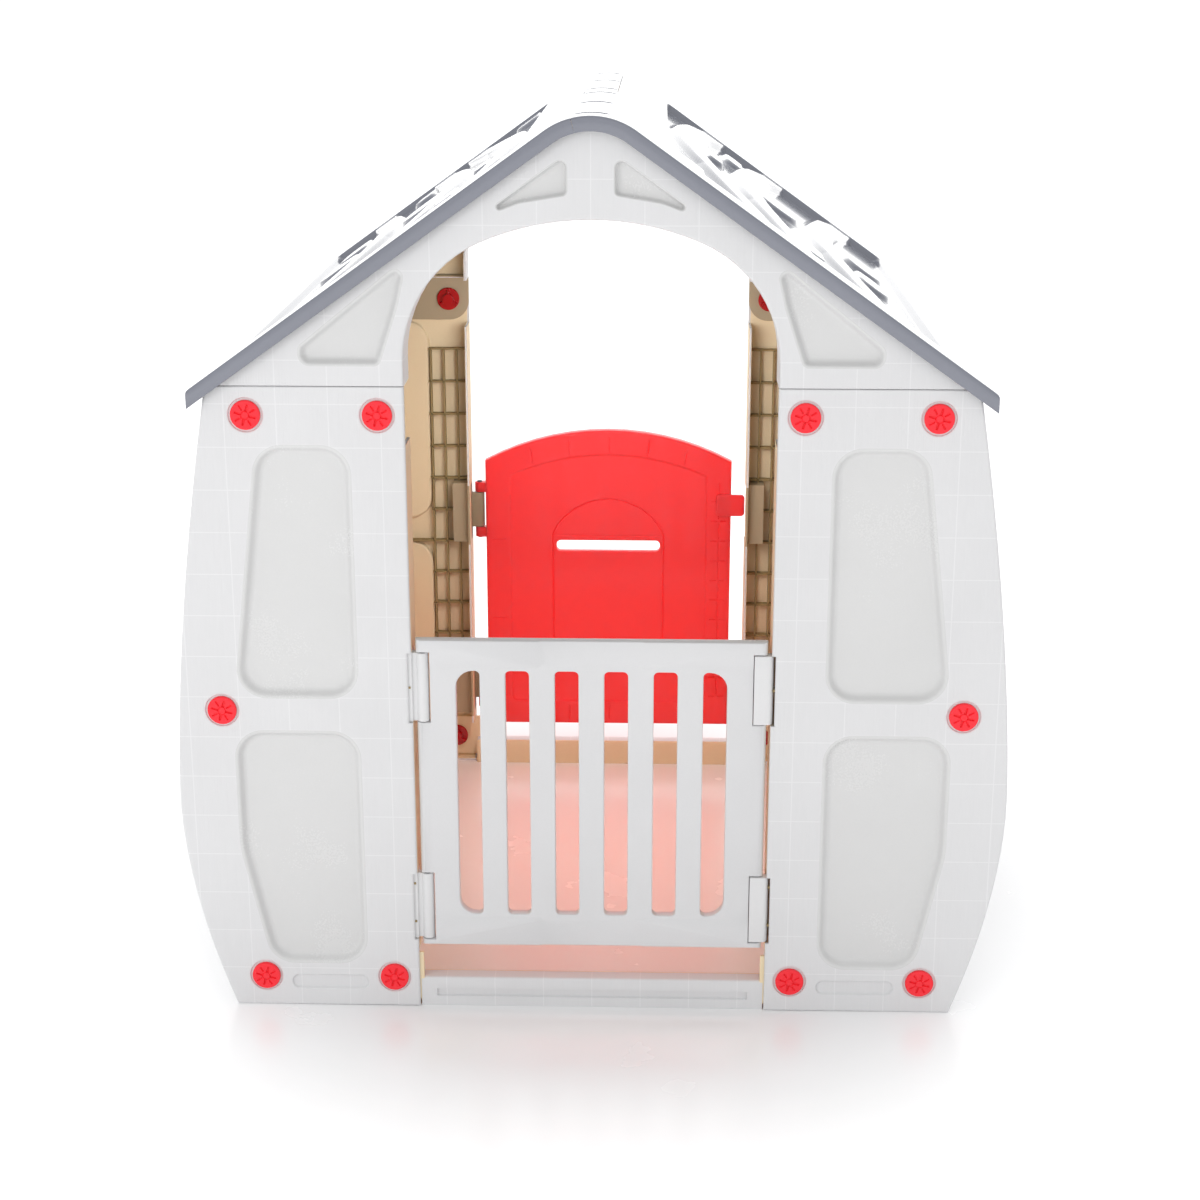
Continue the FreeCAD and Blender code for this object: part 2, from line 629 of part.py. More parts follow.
# ---- roof -----------------------------------------------------------------------------------

def on_slope(shape):
    """Takes a piece drawn on a level board (x down the slope, z = 0 the surface) to the right slope."""
    copy = shape.copy()
    copy.rotate(vec(0, 0, 0), vec(0, 1, 0), math.degrees(ROOF_SLOPE))
    copy.translate(vec(RELIEF_DATUM_X, 0, slope_z(RELIEF_DATUM_X, 0)))
    return copy


def level_prism(corners, z0, z1):
    """A rounded outline given as (x, y, radius), extruded along Z."""
    flat = Part.Face(rounded_wire(corners))
    flat.rotate(vec(0, 0, 0), vec(1, 0, 0), 90)
    solid = flat.mirror(vec(0, 0, 0), vec(0, 1, 0)).extrude(vec(0, 0, z1 - z0))
    solid.translate(vec(0, 0, z0))
    return solid


def field_corners(grow):
    half = ROOF_HALF_DEPTH - ROOF_BORDER + grow
    near = FIELD_FROM - grow
    far = (ROOF_HALF_WIDTH - RELIEF_DATUM_X) / math.cos(ROOF_SLOPE) - EAVE_BORDER + grow
    return [(near, -half, 12), (far, -half, 12), (far, half, 12), (near, half, 12)]


def wave(line):
    """One raised wave of the roof's relief, running along the slope's length."""
    half = WAVE_WIDTH / 2.0
    stations = [share * (ROOF_HALF_DEPTH - ROOF_BORDER + 1) for share in WAVE_STATIONS]
    sides = []
    for offset in (-half, half):
        curve = Part.BSplineCurve()
        curve.interpolate([vec(s + offset, y, 0) for s, y in zip(line, stations)])
        sides.append(curve.toShape())
    ends = []
    for index in (0, -1):
        start = vec(line[index] - half, stations[index], 0)
        ends.append(Part.makeLine(start, vec(line[index] + half, stations[index], 0)))
    solid = closed_face(sides + ends).extrude(vec(0, 0, WAVE_HEIGHT + 1))
    solid.translate(vec(0, 0, -ROOF_FIELD_DEPTH - 1))
    return solid


def pad(s, station, width, length):
    """A raised, rounded pad between the waves."""
    y = station * (ROOF_HALF_DEPTH - ROOF_BORDER)
    r = width / 2.0 - 1.0
    corners = [(s - width / 2, y - length / 2, r), (s + width / 2, y - length / 2, r),
               (s + width / 2, y + length / 2, r), (s - width / 2, y + length / 2, r)]
    return level_prism(corners, -ROOF_FIELD_DEPTH - 1, -ROOF_FIELD_DEPTH + PAD_HEIGHT)


def roof_halves():
    """Two equal halves, one the other turned round, lapped at the ridge."""
    outer_face = under_roof(ROOF_HALF_WIDTH, 0, 700)
    lower_face = under_roof(ROOF_HALF_WIDTH + 10, ROOF_RIM * math.cos(ROOF_SLOPE), 600)
    hollow_face = under_roof(ROOF_HALF_WIDTH - SKIN, SKIN, 600)
    depth = ROOF_HALF_DEPTH
    shell = prism(outer_face, -depth, depth).cut(prism(lower_face, -depth - 1, depth + 1))
    shell = shell.cut(prism(hollow_face, -depth + SKIN, depth - SKIN))
    floor = on_slope(level_prism(field_corners(SKIN), -ROOF_FIELD_DEPTH - SKIN, -SKIN / 2))
    field = on_slope(level_prism(field_corners(0), -ROOF_FIELD_DEPTH, 1))
    relief = [on_slope(wave(line)) for line in WAVE_LINES] + [on_slope(pad(*values)) for values in PADS]
    shell = shell.fuse([floor, turned(floor)]).cut(Part.makeCompound([field, turned(field)]))
    shell = shell.multiFuse(relief + [turned(piece) for piece in relief])
    width, length, deep = RIDGE_SLOT
    slots = []
    last = ROOF_HALF_DEPTH - RIDGE_SLOT_END
    for y in (RIDGE_SLOT_FIRST, (RIDGE_SLOT_FIRST + last) / 2.0, last):
        for side in (-1, 1):
            y0 = side * y - length / 2
            slots.append(slab(-width / 2, width / 2, y0, y0 + length, RIDGE_Z - deep, RIDGE_Z + 1))
    shell = shell.cut(Part.makeCompound(slots))
    far = ROOF_HALF_WIDTH + 10
    lap = LAP_HALF + GAP / 2
    front_half = slab(-LAP_HALF + GAP / 2, far, -depth - 1, -GAP / 2, 600, RIDGE_Z + 10)
    rear_half = slab(lap, far, -GAP, depth + 1, 600, RIDGE_Z + 10)
    right = shell.common(front_half.fuse(rear_half)).removeSplitter()
    return turned(right), right


# ---- slatted gate ----------------------------------------------------------------------------

GATE_Y0 = FRONT + GATE_SET_BACK
GATE_Y1 = GATE_Y0 + GATE_T
GATE_PIN_X = GATE_HALF - GATE_PIN_INSET
GATE_PIN_Y = GATE_Y0 + GATE_T / 2.0


def gate_leaf():
    """Frame with upright slots, rounded at its two long edges."""
    half = GATE_HALF - GATE_PIN_INSET
    core = slab(-half, half, GATE_Y0, GATE_Y1, GATE_FOOT, GATE_TOP)
    edges = [post(GATE_PIN_INSET, side * half, GATE_PIN_Y, GATE_FOOT, GATE_TOP) for side in (-1, 1)]
    low = GATE_FOOT + GATE_FRAME_FOOT
    high = GATE_TOP - GATE_FRAME_TOP
    clear = GATE_HALF - GATE_FRAME_SIDE
    bar = (2 * clear - (GATE_BARS + 1) * GATE_SLOT) / GATE_BARS
    cuts = []
    for i in range(GATE_BARS + 1):
        x0 = -clear + i * (bar + GATE_SLOT)
        corners = [(x0, low, GATE_SLOT_R), (x0 + GATE_SLOT, low, GATE_SLOT_R),
                   (x0 + GATE_SLOT, high, GATE_SLOT_R), (x0, high, GATE_SLOT_R)]
        cuts.append(rounded_prism(corners, GATE_Y0 - 1, GATE_Y1 + 1))
    for z0, z1 in ((GATE_FOOT + 6, low - 5), (high + 5, GATE_TOP - 6)):
        cuts.append(slab(-GATE_RAISED_FROM, GATE_RAISED_FROM, GATE_Y0 - 1, GATE_Y0 + GATE_RAISED, z0, z1))
    cuts.append(slab(-clear + GATE_SLOT, clear - GATE_SLOT, GATE_Y0 - 1, GATE_Y0 + GATE_RAISED, low, high))
    for foot in POCKET_FOOTS:
        notch_x = half - GATE_PIN_INSET - KNUCKLE_GAP
        notch = slab(notch_x, GATE_HALF + 1, GATE_Y0 - 1, GATE_Y1 + 1, foot, foot + POCKET_HEIGHT)
        cuts += [notch, mirror_x(notch)]
        run = (PIN_R + PIN_RUN, -GATE_PIN_X, GATE_PIN_Y)
        cuts.append(post(*run, gate_pin_span(foot)[0] - GAP, gate_pin_span(foot)[1] + GAP))
    return core.multiFuse(edges).cut(Part.makeCompound(cuts)).removeSplitter()


def gate_pin_span(foot):
    """A gate pin stops short of the leaf's foot and reaches past both ends of its notch."""
    low = max(foot - 14.0, GATE_FOOT + 3.0)
    high = min(foot + POCKET_HEIGHT + 14.0, GATE_TOP - 3.0)
    return low, high


def gate_pins():
    pins = []
    for foot in POCKET_FOOTS:
        low, high = gate_pin_span(foot)
        pins.append(post(PIN_R, -GATE_PIN_X, GATE_PIN_Y, low, high))
    return Part.makeCompound(pins)


def knuckle_block(foot, low, high, pin_x, pin_y):
    """Left front hinge block: its root fills a jamb pocket and its nose holds the pin."""
    deep = BEHIND + POCKET_DEPTH - GAP
    far = DOOR_HALF + POCKET_REACH - GAP
    root = slab(-far, -DOOR_HALF, BEHIND + GAP, deep, foot + GAP, foot + POCKET_HEIGHT - GAP)
    arm = slab(-DOOR_HALF - 1, -pin_x, pin_y - KNUCKLE_R / 3, pin_y + KNUCKLE_R, low, high)
    nose = post(KNUCKLE_R, -pin_x, pin_y, low, high)
    bore = post(PIN_R + PIN_RUN, -pin_x, pin_y, low - 1, high + 1)
    return root.multiFuse([arm, nose]).cut(bore).removeSplitter()


def gate_knuckles():
    blocks = []
    for foot in POCKET_FOOTS:
        low = foot + KNUCKLE_END_GAP
        high = foot + POCKET_HEIGHT - KNUCKLE_END_GAP
        blocks.append(knuckle_block(foot, low, high, GATE_PIN_X, GATE_PIN_Y))
    return Part.makeCompound(blocks)


def gate_catches():
    """Rounded tabs in the free edge that rest in the jamb pockets' mouths."""
    tabs = []
    near = GATE_PIN_X - GATE_PIN_INSET - KNUCKLE_GAP + GAP
    nose_x = DOOR_HALF + POCKET_MOUTH - 1.5 - KNUCKLE_R
    for foot in POCKET_FOOTS:
        low = foot + KNUCKLE_END_GAP
        high = foot + POCKET_HEIGHT - KNUCKLE_END_GAP
        block = slab(near, nose_x, GATE_PIN_Y - KNUCKLE_R, GATE_PIN_Y + KNUCKLE_R, low, high)
        tabs.append(block.fuse(post(KNUCKLE_R, nose_x, GATE_PIN_Y, low, high)).removeSplitter())
    return Part.makeCompound(tabs)


# ---- tall rear door ---------------------------------------------------------------------------

DOOR_Y1 = FACE_Y - DOOR_SET_BACK
DOOR_Y0 = DOOR_Y1 - DOOR_T
DOOR_PIN_Y = FACE_Y - DOOR_PIN_SET_BACK


def arched_face(half, foot, corner, apex):
    """An upright oblong with an arched head."""
    arc = Part.Arc(vec(-half, 0, corner), vec(0, 0, apex), vec(half, 0, corner)).toShape()
    left = Part.makeLine(vec(-half, 0, foot), vec(-half, 0, corner))
    right = Part.makeLine(vec(half, 0, foot), vec(half, 0, corner))
    base = Part.makeLine(vec(-half, 0, foot), vec(half, 0, foot))
    return closed_face([arc, left, right, base])


def eye_spans(foot):
    """The two heights at which the door's eyes clasp a hinge block."""
    head = foot + POCKET_HEIGHT
    return [(foot, foot + EYE_HEIGHT), (head - EYE_HEIGHT, head)]


def door_leaf():
    """Arched door with a sunk field on both faces and a letter slot."""
    leaf = prism(arched_face(DOOR_LEAF_HALF, DOOR_FOOT, DOOR_CORNER_Z, DOOR_APEX_Z), DOOR_Y0, DOOR_Y1)
    field = arched_face(DOOR_LEAF_HALF - DOOR_BORDER, DOOR_FOOT + 1.6 * DOOR_BORDER,
                        DOOR_CORNER_Z - 0.8 * DOOR_BORDER, DOOR_APEX_Z - DOOR_BORDER)
    box_out = arched_face(MAILBOX_HALF, MAILBOX_FOOT, MAILBOX_SHOULDER, MAILBOX_APEX)
    box_in = arched_face(MAILBOX_HALF - MAILBOX_GROOVE, MAILBOX_FOOT + MAILBOX_GROOVE,
                         MAILBOX_SHOULDER, MAILBOX_APEX - MAILBOX_GROOVE)
    ring = box_out.cut(box_in)
    cuts = []
    for outline, depth in ((field, DOOR_FIELD_DEPTH), (ring, DOOR_FIELD_DEPTH + 2)):
        cuts.append(prism(outline, DOOR_Y0 - 1, DOOR_Y0 + depth))
        cuts.append(prism(outline, DOOR_Y1 - depth, DOOR_Y1 + 1))
    r = LETTER_HEIGHT / 2 - 2
    low = LETTER_FOOT
    high = LETTER_FOOT + LETTER_HEIGHT
    letter = [(-LETTER_HALF, low, r), (LETTER_HALF, low, r), (LETTER_HALF, high, r), (-LETTER_HALF, high, r)]
    cuts.append(rounded_prism(letter, DOOR_Y0 - 1, DOOR_Y1 + 1))
    leaf = leaf.cut(Part.makeCompound(cuts))
    eyes = []
    bores = []
    for foot in POCKET_FOOTS:
        for low, high in eye_spans(foot):
            eyes.append(post(KNUCKLE_R, -DOOR_PIN_X, DOOR_PIN_Y, low, high))
            eyes.append(slab(-DOOR_PIN_X, -DOOR_LEAF_HALF + 4, DOOR_PIN_Y - KNUCKLE_R, DOOR_Y1, low, high))
        low, high = door_pin_span(foot)
        bores.append(post(PIN_R + PIN_RUN, -DOOR_PIN_X, DOOR_PIN_Y, low - 1, high + 1))
    return leaf.multiFuse(eyes).cut(Part.makeCompound(bores)).removeSplitter()


def door_pin_span(foot):
    return foot - 2.0, foot + POCKET_HEIGHT + 2.0


def door_pins():
    pins = []
    for foot in POCKET_FOOTS:
        low, high = door_pin_span(foot)
        pins.append(post(PIN_R, -DOOR_PIN_X, DOOR_PIN_Y, low, high))
    return Part.makeCompound(pins)


def door_knuckles():
    """The same hinge blocks at the rear, shorter so that the door's eyes clasp them."""
    blocks = []
    for foot in POCKET_FOOTS:
        low = foot + EYE_HEIGHT + KNUCKLE_END_GAP
        high = foot + POCKET_HEIGHT - EYE_HEIGHT - KNUCKLE_END_GAP
        blocks.append(mirror_y(knuckle_block(foot, low, high, DOOR_PIN_X, -DOOR_PIN_Y)))
    return Part.makeCompound(blocks)


def door_latch():
    """Pull tab on the inner face of the door's free edge."""
    low, high = LATCH_Z
    x0 = DOOR_LEAF_HALF - LATCH_IN
    x1 = DOOR_LEAF_HALF + LATCH_REACH
    outline = [(x0, low, 5), (x1, low, 5), (x1, high, 5), (x0, high, 5)]
    return rounded_prism(outline, DOOR_Y0 - LATCH_T, DOOR_Y0)


# ---- screws and nuts ----------------------------------------------------------------------------

def screw(x, z):
    """Large-headed plastic screw at the front."""
    seat = FRONT + SCREW_SEAT_DEPTH
    head = peg(SCREW_HEAD_R, x, z, seat - SCREW_HEAD_T, seat)
    rim = [edge for edge in head.Edges if abs(edge.BoundBox.YMax - seat + SCREW_HEAD_T) < 0.01]
    head = head.makeFillet(SCREW_HEAD_T / 3, rim[:1])
    return head.fuse(peg(SHANK_R, x, z, seat - 1, seat + SHANK_LENGTH)).removeSplitter()


def nut(x, z):
    """Round nut with three wings and a closed boss, behind the clamped plate."""
    y0 = BEHIND + GAP + TONGUE_T + GAP
    flange = peg(NUT_R, x, z, y0, y0 + NUT_T)
    solids = [peg(NUT_BOSS_R, x, z, y0, y0 + NUT_HEIGHT)]
    for i in range(3):
        wing = slab(0, NUT_R - 1, y0, y0 + WING_HEIGHT, -WING_WIDTH / 2, WING_WIDTH / 2)
        wing.rotate(vec(0, 0, 0), vec(0, 1, 0), 90 + 120 * i)
        wing.translate(vec(x, 0, z))
        solids.append(wing)
    bore = peg(SHANK_R + PIN_RUN, x, z, y0 - 1, y0 + NUT_HEIGHT - SKIN / 2)
    return flange.multiFuse(solids).cut(bore).removeSplitter()


def fasteners(make):
    right = [make(x, z) for x, z in screw_places().values()]
    return Part.makeCompound(right + [mirror_x(piece) for piece in right])


# ---- the whole house ----------------------------------------------------------------------------

def build():
    panel = wall_panel()
    front_gable = gable()
    sill = threshold()
    side = side_wall()
    left_roof, right_roof = roof_halves()
    screws = fasteners(screw)
    nuts = fasteners(nut)
    return {
        "front_right_panel": panel,
        "front_left_panel": mirror_x(panel),
        "rear_right_panel": mirror_y(panel),
        "rear_left_panel": turned(panel),
        "front_gable": front_gable,
        "rear_gable": turned(front_gable),
        "front_threshold": sill,
        "rear_threshold": turned(sill),
        "right_side_wall": side,
        "left_side_wall": turned(side),
        "roof_right_half": right_roof,
        "roof_left_half": left_roof,
        "front_gate": gate_leaf(),
        "gate_hinge_pins": gate_pins(),
        "gate_hinge_blocks": gate_knuckles(),
        "gate_catch_tabs": gate_catches(),
        "rear_door": door_leaf(),
        "door_hinge_pins": door_pins(),
        "door_hinge_blocks": door_knuckles(),
        "door_latch_tab": door_latch(),
        "front_wall_screws": screws,
        "front_wall_nuts": nuts,
        "rear_wall_screws": turned(screws),
        "rear_wall_nuts": turned(nuts),
    }


os.makedirs("parts", exist_ok=True)
for node, shape in build().items():
    shape.exportStep("parts/" + node + ".step")
    box = shape.BoundBox
    print("%-20s solids %2d valid %s volume %.0f  x %.1f %.1f  y %.1f %.1f  z %.1f %.1f" % (
        node, len(shape.Solids), shape.isValid(), shape.Volume,
        box.XMin, box.XMax, box.YMin, box.YMax, box.ZMin, box.ZMax))
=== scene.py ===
import math

import bmesh
import bpy
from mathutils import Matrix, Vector


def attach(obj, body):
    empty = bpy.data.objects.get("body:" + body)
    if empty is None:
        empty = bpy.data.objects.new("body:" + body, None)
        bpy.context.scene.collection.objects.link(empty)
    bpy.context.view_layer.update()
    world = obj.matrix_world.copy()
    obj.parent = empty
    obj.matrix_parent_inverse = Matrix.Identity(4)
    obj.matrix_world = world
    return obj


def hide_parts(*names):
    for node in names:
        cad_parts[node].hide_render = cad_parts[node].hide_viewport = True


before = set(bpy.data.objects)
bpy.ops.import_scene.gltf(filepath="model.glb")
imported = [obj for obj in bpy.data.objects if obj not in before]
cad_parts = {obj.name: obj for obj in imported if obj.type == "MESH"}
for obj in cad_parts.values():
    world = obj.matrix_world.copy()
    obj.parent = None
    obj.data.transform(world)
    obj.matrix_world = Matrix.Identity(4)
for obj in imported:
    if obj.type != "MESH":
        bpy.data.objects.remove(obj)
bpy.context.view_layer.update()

# ---- Wall panels -----------------------------------------------------------------------------
# Four equal trays of white polyethylene stand at the corners, beside the two doorways.
# Each is moulded in one piece: a 4 mm skin with two sunk fields, seats for five screws, flanges
# round its edges and, behind the jamb, two pockets that take the hinge blocks.

MM = 0.001
DOORWAY = 218.0
SEAM = 801.0
WALL_FACE = 436.0
SKIN = 4.0
RIM = 20.0
JAMB_RIM = 52.0
JAMB_FOOT, JAMB_HEAD = 78.0, 730.0
POCKETS = ((93.0, 183.0), (384.0, 474.0))
POCKET_WALL = 3.0
HALF_WIDTH = 510.0
WIDEST_Z = 280.0
DRAWN_IN = 58.0
SCREW_SEAM_Z, SCREW_WAIST_Z, SCREW_FOOT_Z = 767.0, 399.0, 41.0


def loop(corners, inset=0.0, shares=None, steps=6):
    """The closed outline moved inwards. A corner is (u, v, radius); shares scales each side's move."""
    count = len(corners)
    spots = []
    for i in range(count):
        here = Vector(corners[i][:2])
        before = (here - Vector(corners[i - 1][:2])).normalized()
        after = (Vector(corners[(i + 1) % count][:2]) - here).normalized()
        before_move = inset * (shares[i - 1] if shares else 1.0)
        after_move = inset * (shares[i] if shares else 1.0)
        turn = before.cross(after)
        if abs(turn) < 0.02:
            move = Vector((-before.y, before.x)) * ((before_move + after_move) / 2)
        else:
            move = (after * before_move - before * after_move) / turn
        radius = corners[i][2]
        if radius > 0:
            radius = max(radius - inset if turn > 0 else radius + inset, 0.2)
        spots.append((here + move, radius, turn))
    points = []
    for i in range(count):
        here, radius, turn = spots[i]
        if radius <= 0:
            points.append(here)
            continue
        back = (spots[i - 1][0] - here).normalized()
        ahead = (spots[(i + 1) % count][0] - here).normalized()
        half = back.angle(ahead) / 2
        centre = here + (back + ahead).normalized() * (radius / math.sin(half))
        spoke = here + back * (radius / math.tan(half)) - centre
        sweep = math.copysign(math.pi - 2 * half, turn)
        for k in range(steps + 1):
            cos, sin = math.cos(sweep * k / steps), math.sin(sweep * k / steps)
            points.append(centre + Vector((spoke.x * cos - spoke.y * sin, spoke.x * sin + spoke.y * cos)))
    return points


def courses(mould, rows, finish=0):
    """Skins closed rows of (u, depth, v) points with quads and gives the rows back as vertices."""
    rings = [[mould.verts.new(point) for point in row] for row in rows]
    for near, far in zip(rings, rings[1:]):
        for i in range(len(near)):
            face = mould.faces.new((near[i - 1], near[i], far[i], far[i - 1]))
            face.material_index = finish
    return rings


def cover(mould, rings, finish=0):
    """Fills the flat skin between an outer ring and the rings of its holes."""
    edges = []
    for ring in rings:
        for i in range(len(ring)):
            pair = (ring[i - 1], ring[i])
            edges.append(mould.edges.get(pair) or mould.edges.new(pair))
    filled = bmesh.ops.triangle_fill(mould, use_beauty=True, edges=edges)
    for item in filled["geom"]:
        if isinstance(item, bmesh.types.BMFace):
            item.material_index = finish


def relief(mould, corners, profile, finish=0, capped=True, steps=6, shares=None):
    """A sunk or raised shape: rows that follow the outline through (inset, depth) steps, and a cap."""
    rows = []
    for inset, depth in profile:
        rows.append([(point.x, depth, point.y) for point in loop(corners, inset, shares, steps)])
    rings = courses(mould, rows, finish)
    if capped:
        cover(mould, rings[-1:], finish)
    return rings


def turned_ring(mould, u, v, profile, finish=0, segments=40, capped=False):
    """A round seat, hole or boss from (radius, depth) steps."""
    rows = []
    for radius, depth in profile:
        angles = [2 * math.pi * i / segments for i in range(segments)]
        rows.append([(u + radius * math.cos(a), depth, v + radius * math.sin(a)) for a in angles])
    rings = courses(mould, rows, finish)
    if capped:
        cover(mould, rings[-1:], finish)
    return rings


def flip(corners):
    """The same outline on the other side of the middle."""
    return [(-corner[0], *corner[1:]) for corner in reversed(corners)]


def cast(mould, name, place, finishes, sharp=38):
    """Puts a finished mould in its place in the house, in metres, and makes the piece."""
    for vert in mould.verts:
        vert.co = Vector(place(*vert.co)) * MM
    bmesh.ops.remove_doubles(mould, verts=mould.verts, dist=0.008 * MM)
    bmesh.ops.dissolve_degenerate(mould, edges=mould.edges, dist=0.004 * MM)
    bmesh.ops.recalc_face_normals(mould, faces=mould.faces)
    for face in mould.faces:
        face.smooth = True
    for edge in mould.edges:
        edge.smooth = edge.calc_face_angle(0.0) < math.radians(sharp)
    mesh = bpy.data.meshes.new(name)
    mould.to_mesh(mesh)
    mould.free()
    for finish in finishes:
        mesh.materials.append(finish)
    piece = bpy.data.objects.new(name, mesh)
    bpy.context.scene.collection.objects.link(piece)
    return piece


def as_drawn(u, depth, v):
    """Leaves a drawing where it is."""
    return (u, depth, v)


def upright(u, depth, v):
    """Stands a drawing made in plan up along the height."""
    return (u, v, depth)


def turned_about(way, face):
    """Places a drawing by its outer face: at the front for a way of 1, turned to the rear for -1."""
    return lambda u, depth, v: (way * u, way * (depth - face), v)


def hand_over(piece, body, slot, *nodes):
    """Hangs the piece on the body that it rides on and hides the parts that it stands for, if any. The slot
    is not used.
    """
    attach(piece, body)
    if nodes:
        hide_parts(*nodes)


def edge_x(z):
    """Half width of the house at height z: widest at one level, drawn in above and below it."""
    if z >= WIDEST_Z:
        return HALF_WIDTH - DRAWN_IN * ((z - WIDEST_Z) / (SEAM - WIDEST_Z)) ** 1.58
    return HALF_WIDTH - DRAWN_IN * ((WIDEST_Z - z) / WIDEST_Z) ** 1.8


def painted_sink_sheen(nodes, links, place, skin):
    """Faint paler lines painted on the skin over the ribs behind it: painted sheen for the sink marks that
    the ribs draw in, whose dents are not modelled.
    """
    apart = nodes.new("ShaderNodeSeparateXYZ")
    upright_plane = nodes.new("ShaderNodeCombineXYZ")
    links.new(place, apart.inputs["Vector"])
    links.new(apart.outputs["X"], upright_plane.inputs["X"])
    links.new(apart.outputs["Z"], upright_plane.inputs["Y"])
    lattice = nodes.new("ShaderNodeTexBrick")
    lattice.offset = 0.0
    lattice.inputs["Scale"].default_value = 1.0
    lattice.inputs["Brick Width"].default_value = 0.0615
    lattice.inputs["Row Height"].default_value = 0.052
    lattice.inputs["Mortar Size"].default_value = 0.0011
    lattice.inputs["Mortar Smooth"].default_value = 1.0
    links.new(upright_plane.outputs["Vector"], lattice.inputs["Vector"])
    faint = nodes.new("ShaderNodeMath")
    faint.operation = "MULTIPLY"
    faint.inputs[1].default_value = 0.3
    links.new(lattice.outputs["Fac"], faint.inputs[0])
    marked = nodes.new("ShaderNodeMix")
    marked.data_type = "RGBA"
    # Painted sheen: the paler colour of the lines over the ribs.
    marked.inputs[7].default_value = (0.9, 0.9, 0.91, 1.0)
    links.new(faint.outputs[0], marked.inputs[0])
    links.new(skin, marked.inputs[6])
    return marked.outputs[2]


def plastic(name, colour, gloss, bump, grain, shade=0.05, coat=0.0, with_painted_sink_sheen=False):
    """Moulded plastic: clouded colour, patchy gloss and a bump from the tool marks in the mould."""
    material = bpy.data.materials.new(name)
    material.use_nodes = True
    nodes = material.node_tree.nodes
    links = material.node_tree.links
    shader = nodes["Principled BSDF"]
    place = nodes.new("ShaderNodeTexCoord")
    stretch = nodes.new("ShaderNodeMapping")
    stretch.inputs["Scale"].default_value = grain
    links.new(place.outputs["Object"], stretch.inputs["Vector"])
    brushed = nodes.new("ShaderNodeTexNoise")
    brushed.inputs["Scale"].default_value = 1.0
    brushed.inputs["Detail"].default_value = 3.0
    links.new(stretch.outputs["Vector"], brushed.inputs["Vector"])
    cloud = nodes.new("ShaderNodeTexNoise")
    cloud.inputs["Scale"].default_value = 7.0
    cloud.inputs["Detail"].default_value = 5.0
    links.new(place.outputs["Object"], cloud.inputs["Vector"])
    both = nodes.new("ShaderNodeMath")
    both.operation = "MULTIPLY_ADD"
    both.inputs[1].default_value = 0.35
    links.new(brushed.outputs["Fac"], both.inputs[0])
    links.new(cloud.outputs["Fac"], both.inputs[2])
    tint = nodes.new("ShaderNodeMix")
    tint.data_type = "RGBA"
    tint.inputs[6].default_value = (*[part * (1 - shade) for part in colour], 1.0)
    tint.inputs[7].default_value = (*[min(part * (1 + shade), 1.0) for part in colour], 1.0)
    links.new(both.outputs[0], tint.inputs[0])
    skin = tint.outputs[2]
    if with_painted_sink_sheen:
        skin = painted_sink_sheen(nodes, links, place.outputs["Object"], skin)
    links.new(skin, shader.inputs["Base Color"])
    polish = nodes.new("ShaderNodeMapRange")
    polish.inputs["To Min"].default_value = gloss - 0.06
    polish.inputs["To Max"].default_value = gloss + 0.08
    links.new(both.outputs[0], polish.inputs["Value"])
    links.new(polish.outputs["Result"], shader.inputs["Roughness"])
    marks = nodes.new("ShaderNodeBump")
    marks.inputs["Strength"].default_value = bump
    marks.inputs["Distance"].default_value = 0.0008
    links.new(brushed.outputs["Fac"], marks.inputs["Height"])
    links.new(marks.outputs["Normal"], shader.inputs["Normal"])
    shader.inputs["Coat Weight"].default_value = coat
    shader.inputs["Coat Roughness"].default_value = 0.08
    shader.inputs["IOR"].default_value = 1.5
    return material


BRUSHED_UPRIGHT = (520.0, 520.0, 16.0)
PEBBLED = (420.0, 420.0, 420.0)
wall_brushed = plastic("wall_brushed", (0.675, 0.675, 0.683), 0.42, 0.34, BRUSHED_UPRIGHT, with_painted_sink_sheen=True)
field_smooth = plastic("field_smooth", (0.63, 0.63, 0.628), 0.22, 0.10, PEBBLED, coat=0.3)
# Painted light: the insides are the same white-grey plastic, coloured beige for the warm back-light glowing
# through them.
inside_painted_backlight = plastic("inside_painted_backlight", (0.80, 0.66, 0.44), 0.5, 0.25, PEBBLED, shade=0.07)
# Painted shade: doubled or thickened parts are coloured brown where the thicker plastic lets less light
# through.
double_wall_painted_shade = plastic("double_wall_painted_shade", (0.40, 0.32, 0.21), 0.5, 0.25, PEBBLED, shade=0.07)

FACE_EDGE = ((4.0, 0.0), (3.0, 0.0), (1.4, 0.45), (0.45, 1.4), (0.0, 3.0))
WELL = ((-2.4, 0.0), (-1.2, 0.0), (0.6, 0.4), (2.0, 1.5), (3.4, 3.4), (5.4, 6.0), (7.2, 7.4), (9.4, 7.95),
        (11.0, 8.0), (12.0, 8.0))
BULGE = ((-6.5, 4.0), (-5.0, 4.0), (-3.8, 4.6), (-3.0, 8.0), (-2.2, 10.8), (-0.6, 11.9), (1.5, 12.0),
         (3.0, 12.0))
SHALLOW = ((-1.6, 0.0), (-0.5, 0.0), (0.3, 0.3), (0.9, 1.2), (1.4, 2.4), (2.2, 3.1), (3.6, 3.3))
SCREW_SEAT = ((22.8, 0.0), (21.4, 0.0), (20.8, 0.4), (20.5, 1.2), (20.1, 2.0), (12.0, 2.0), (6.5, 2.0),
              (6.5, 4.0), (8.5, 4.0))
SEAM_SHARE = 0.4


def sunk_fields():
    """The two sunk fields of a panel; the outer sides follow the curve of the house."""
    inner = DOORWAY + 67.0
    margin = 70.0
    radius = 34.0
    foot, head = 417.0, 729.0
    upper = [(inner, foot, radius), (edge_x(foot) - margin, foot, radius),
             (edge_x(head) - margin, head, radius), (inner, head, radius)]
    foot, middle, head = 61.0, 216.0, 371.0
    lower = [(inner, foot, radius), (edge_x(foot) - margin, foot, radius),
             (edge_x(middle) - margin, middle, 4 * radius),
             (edge_x(head) - margin, head, radius), (inner, head, radius)]
    return [upper, lower]


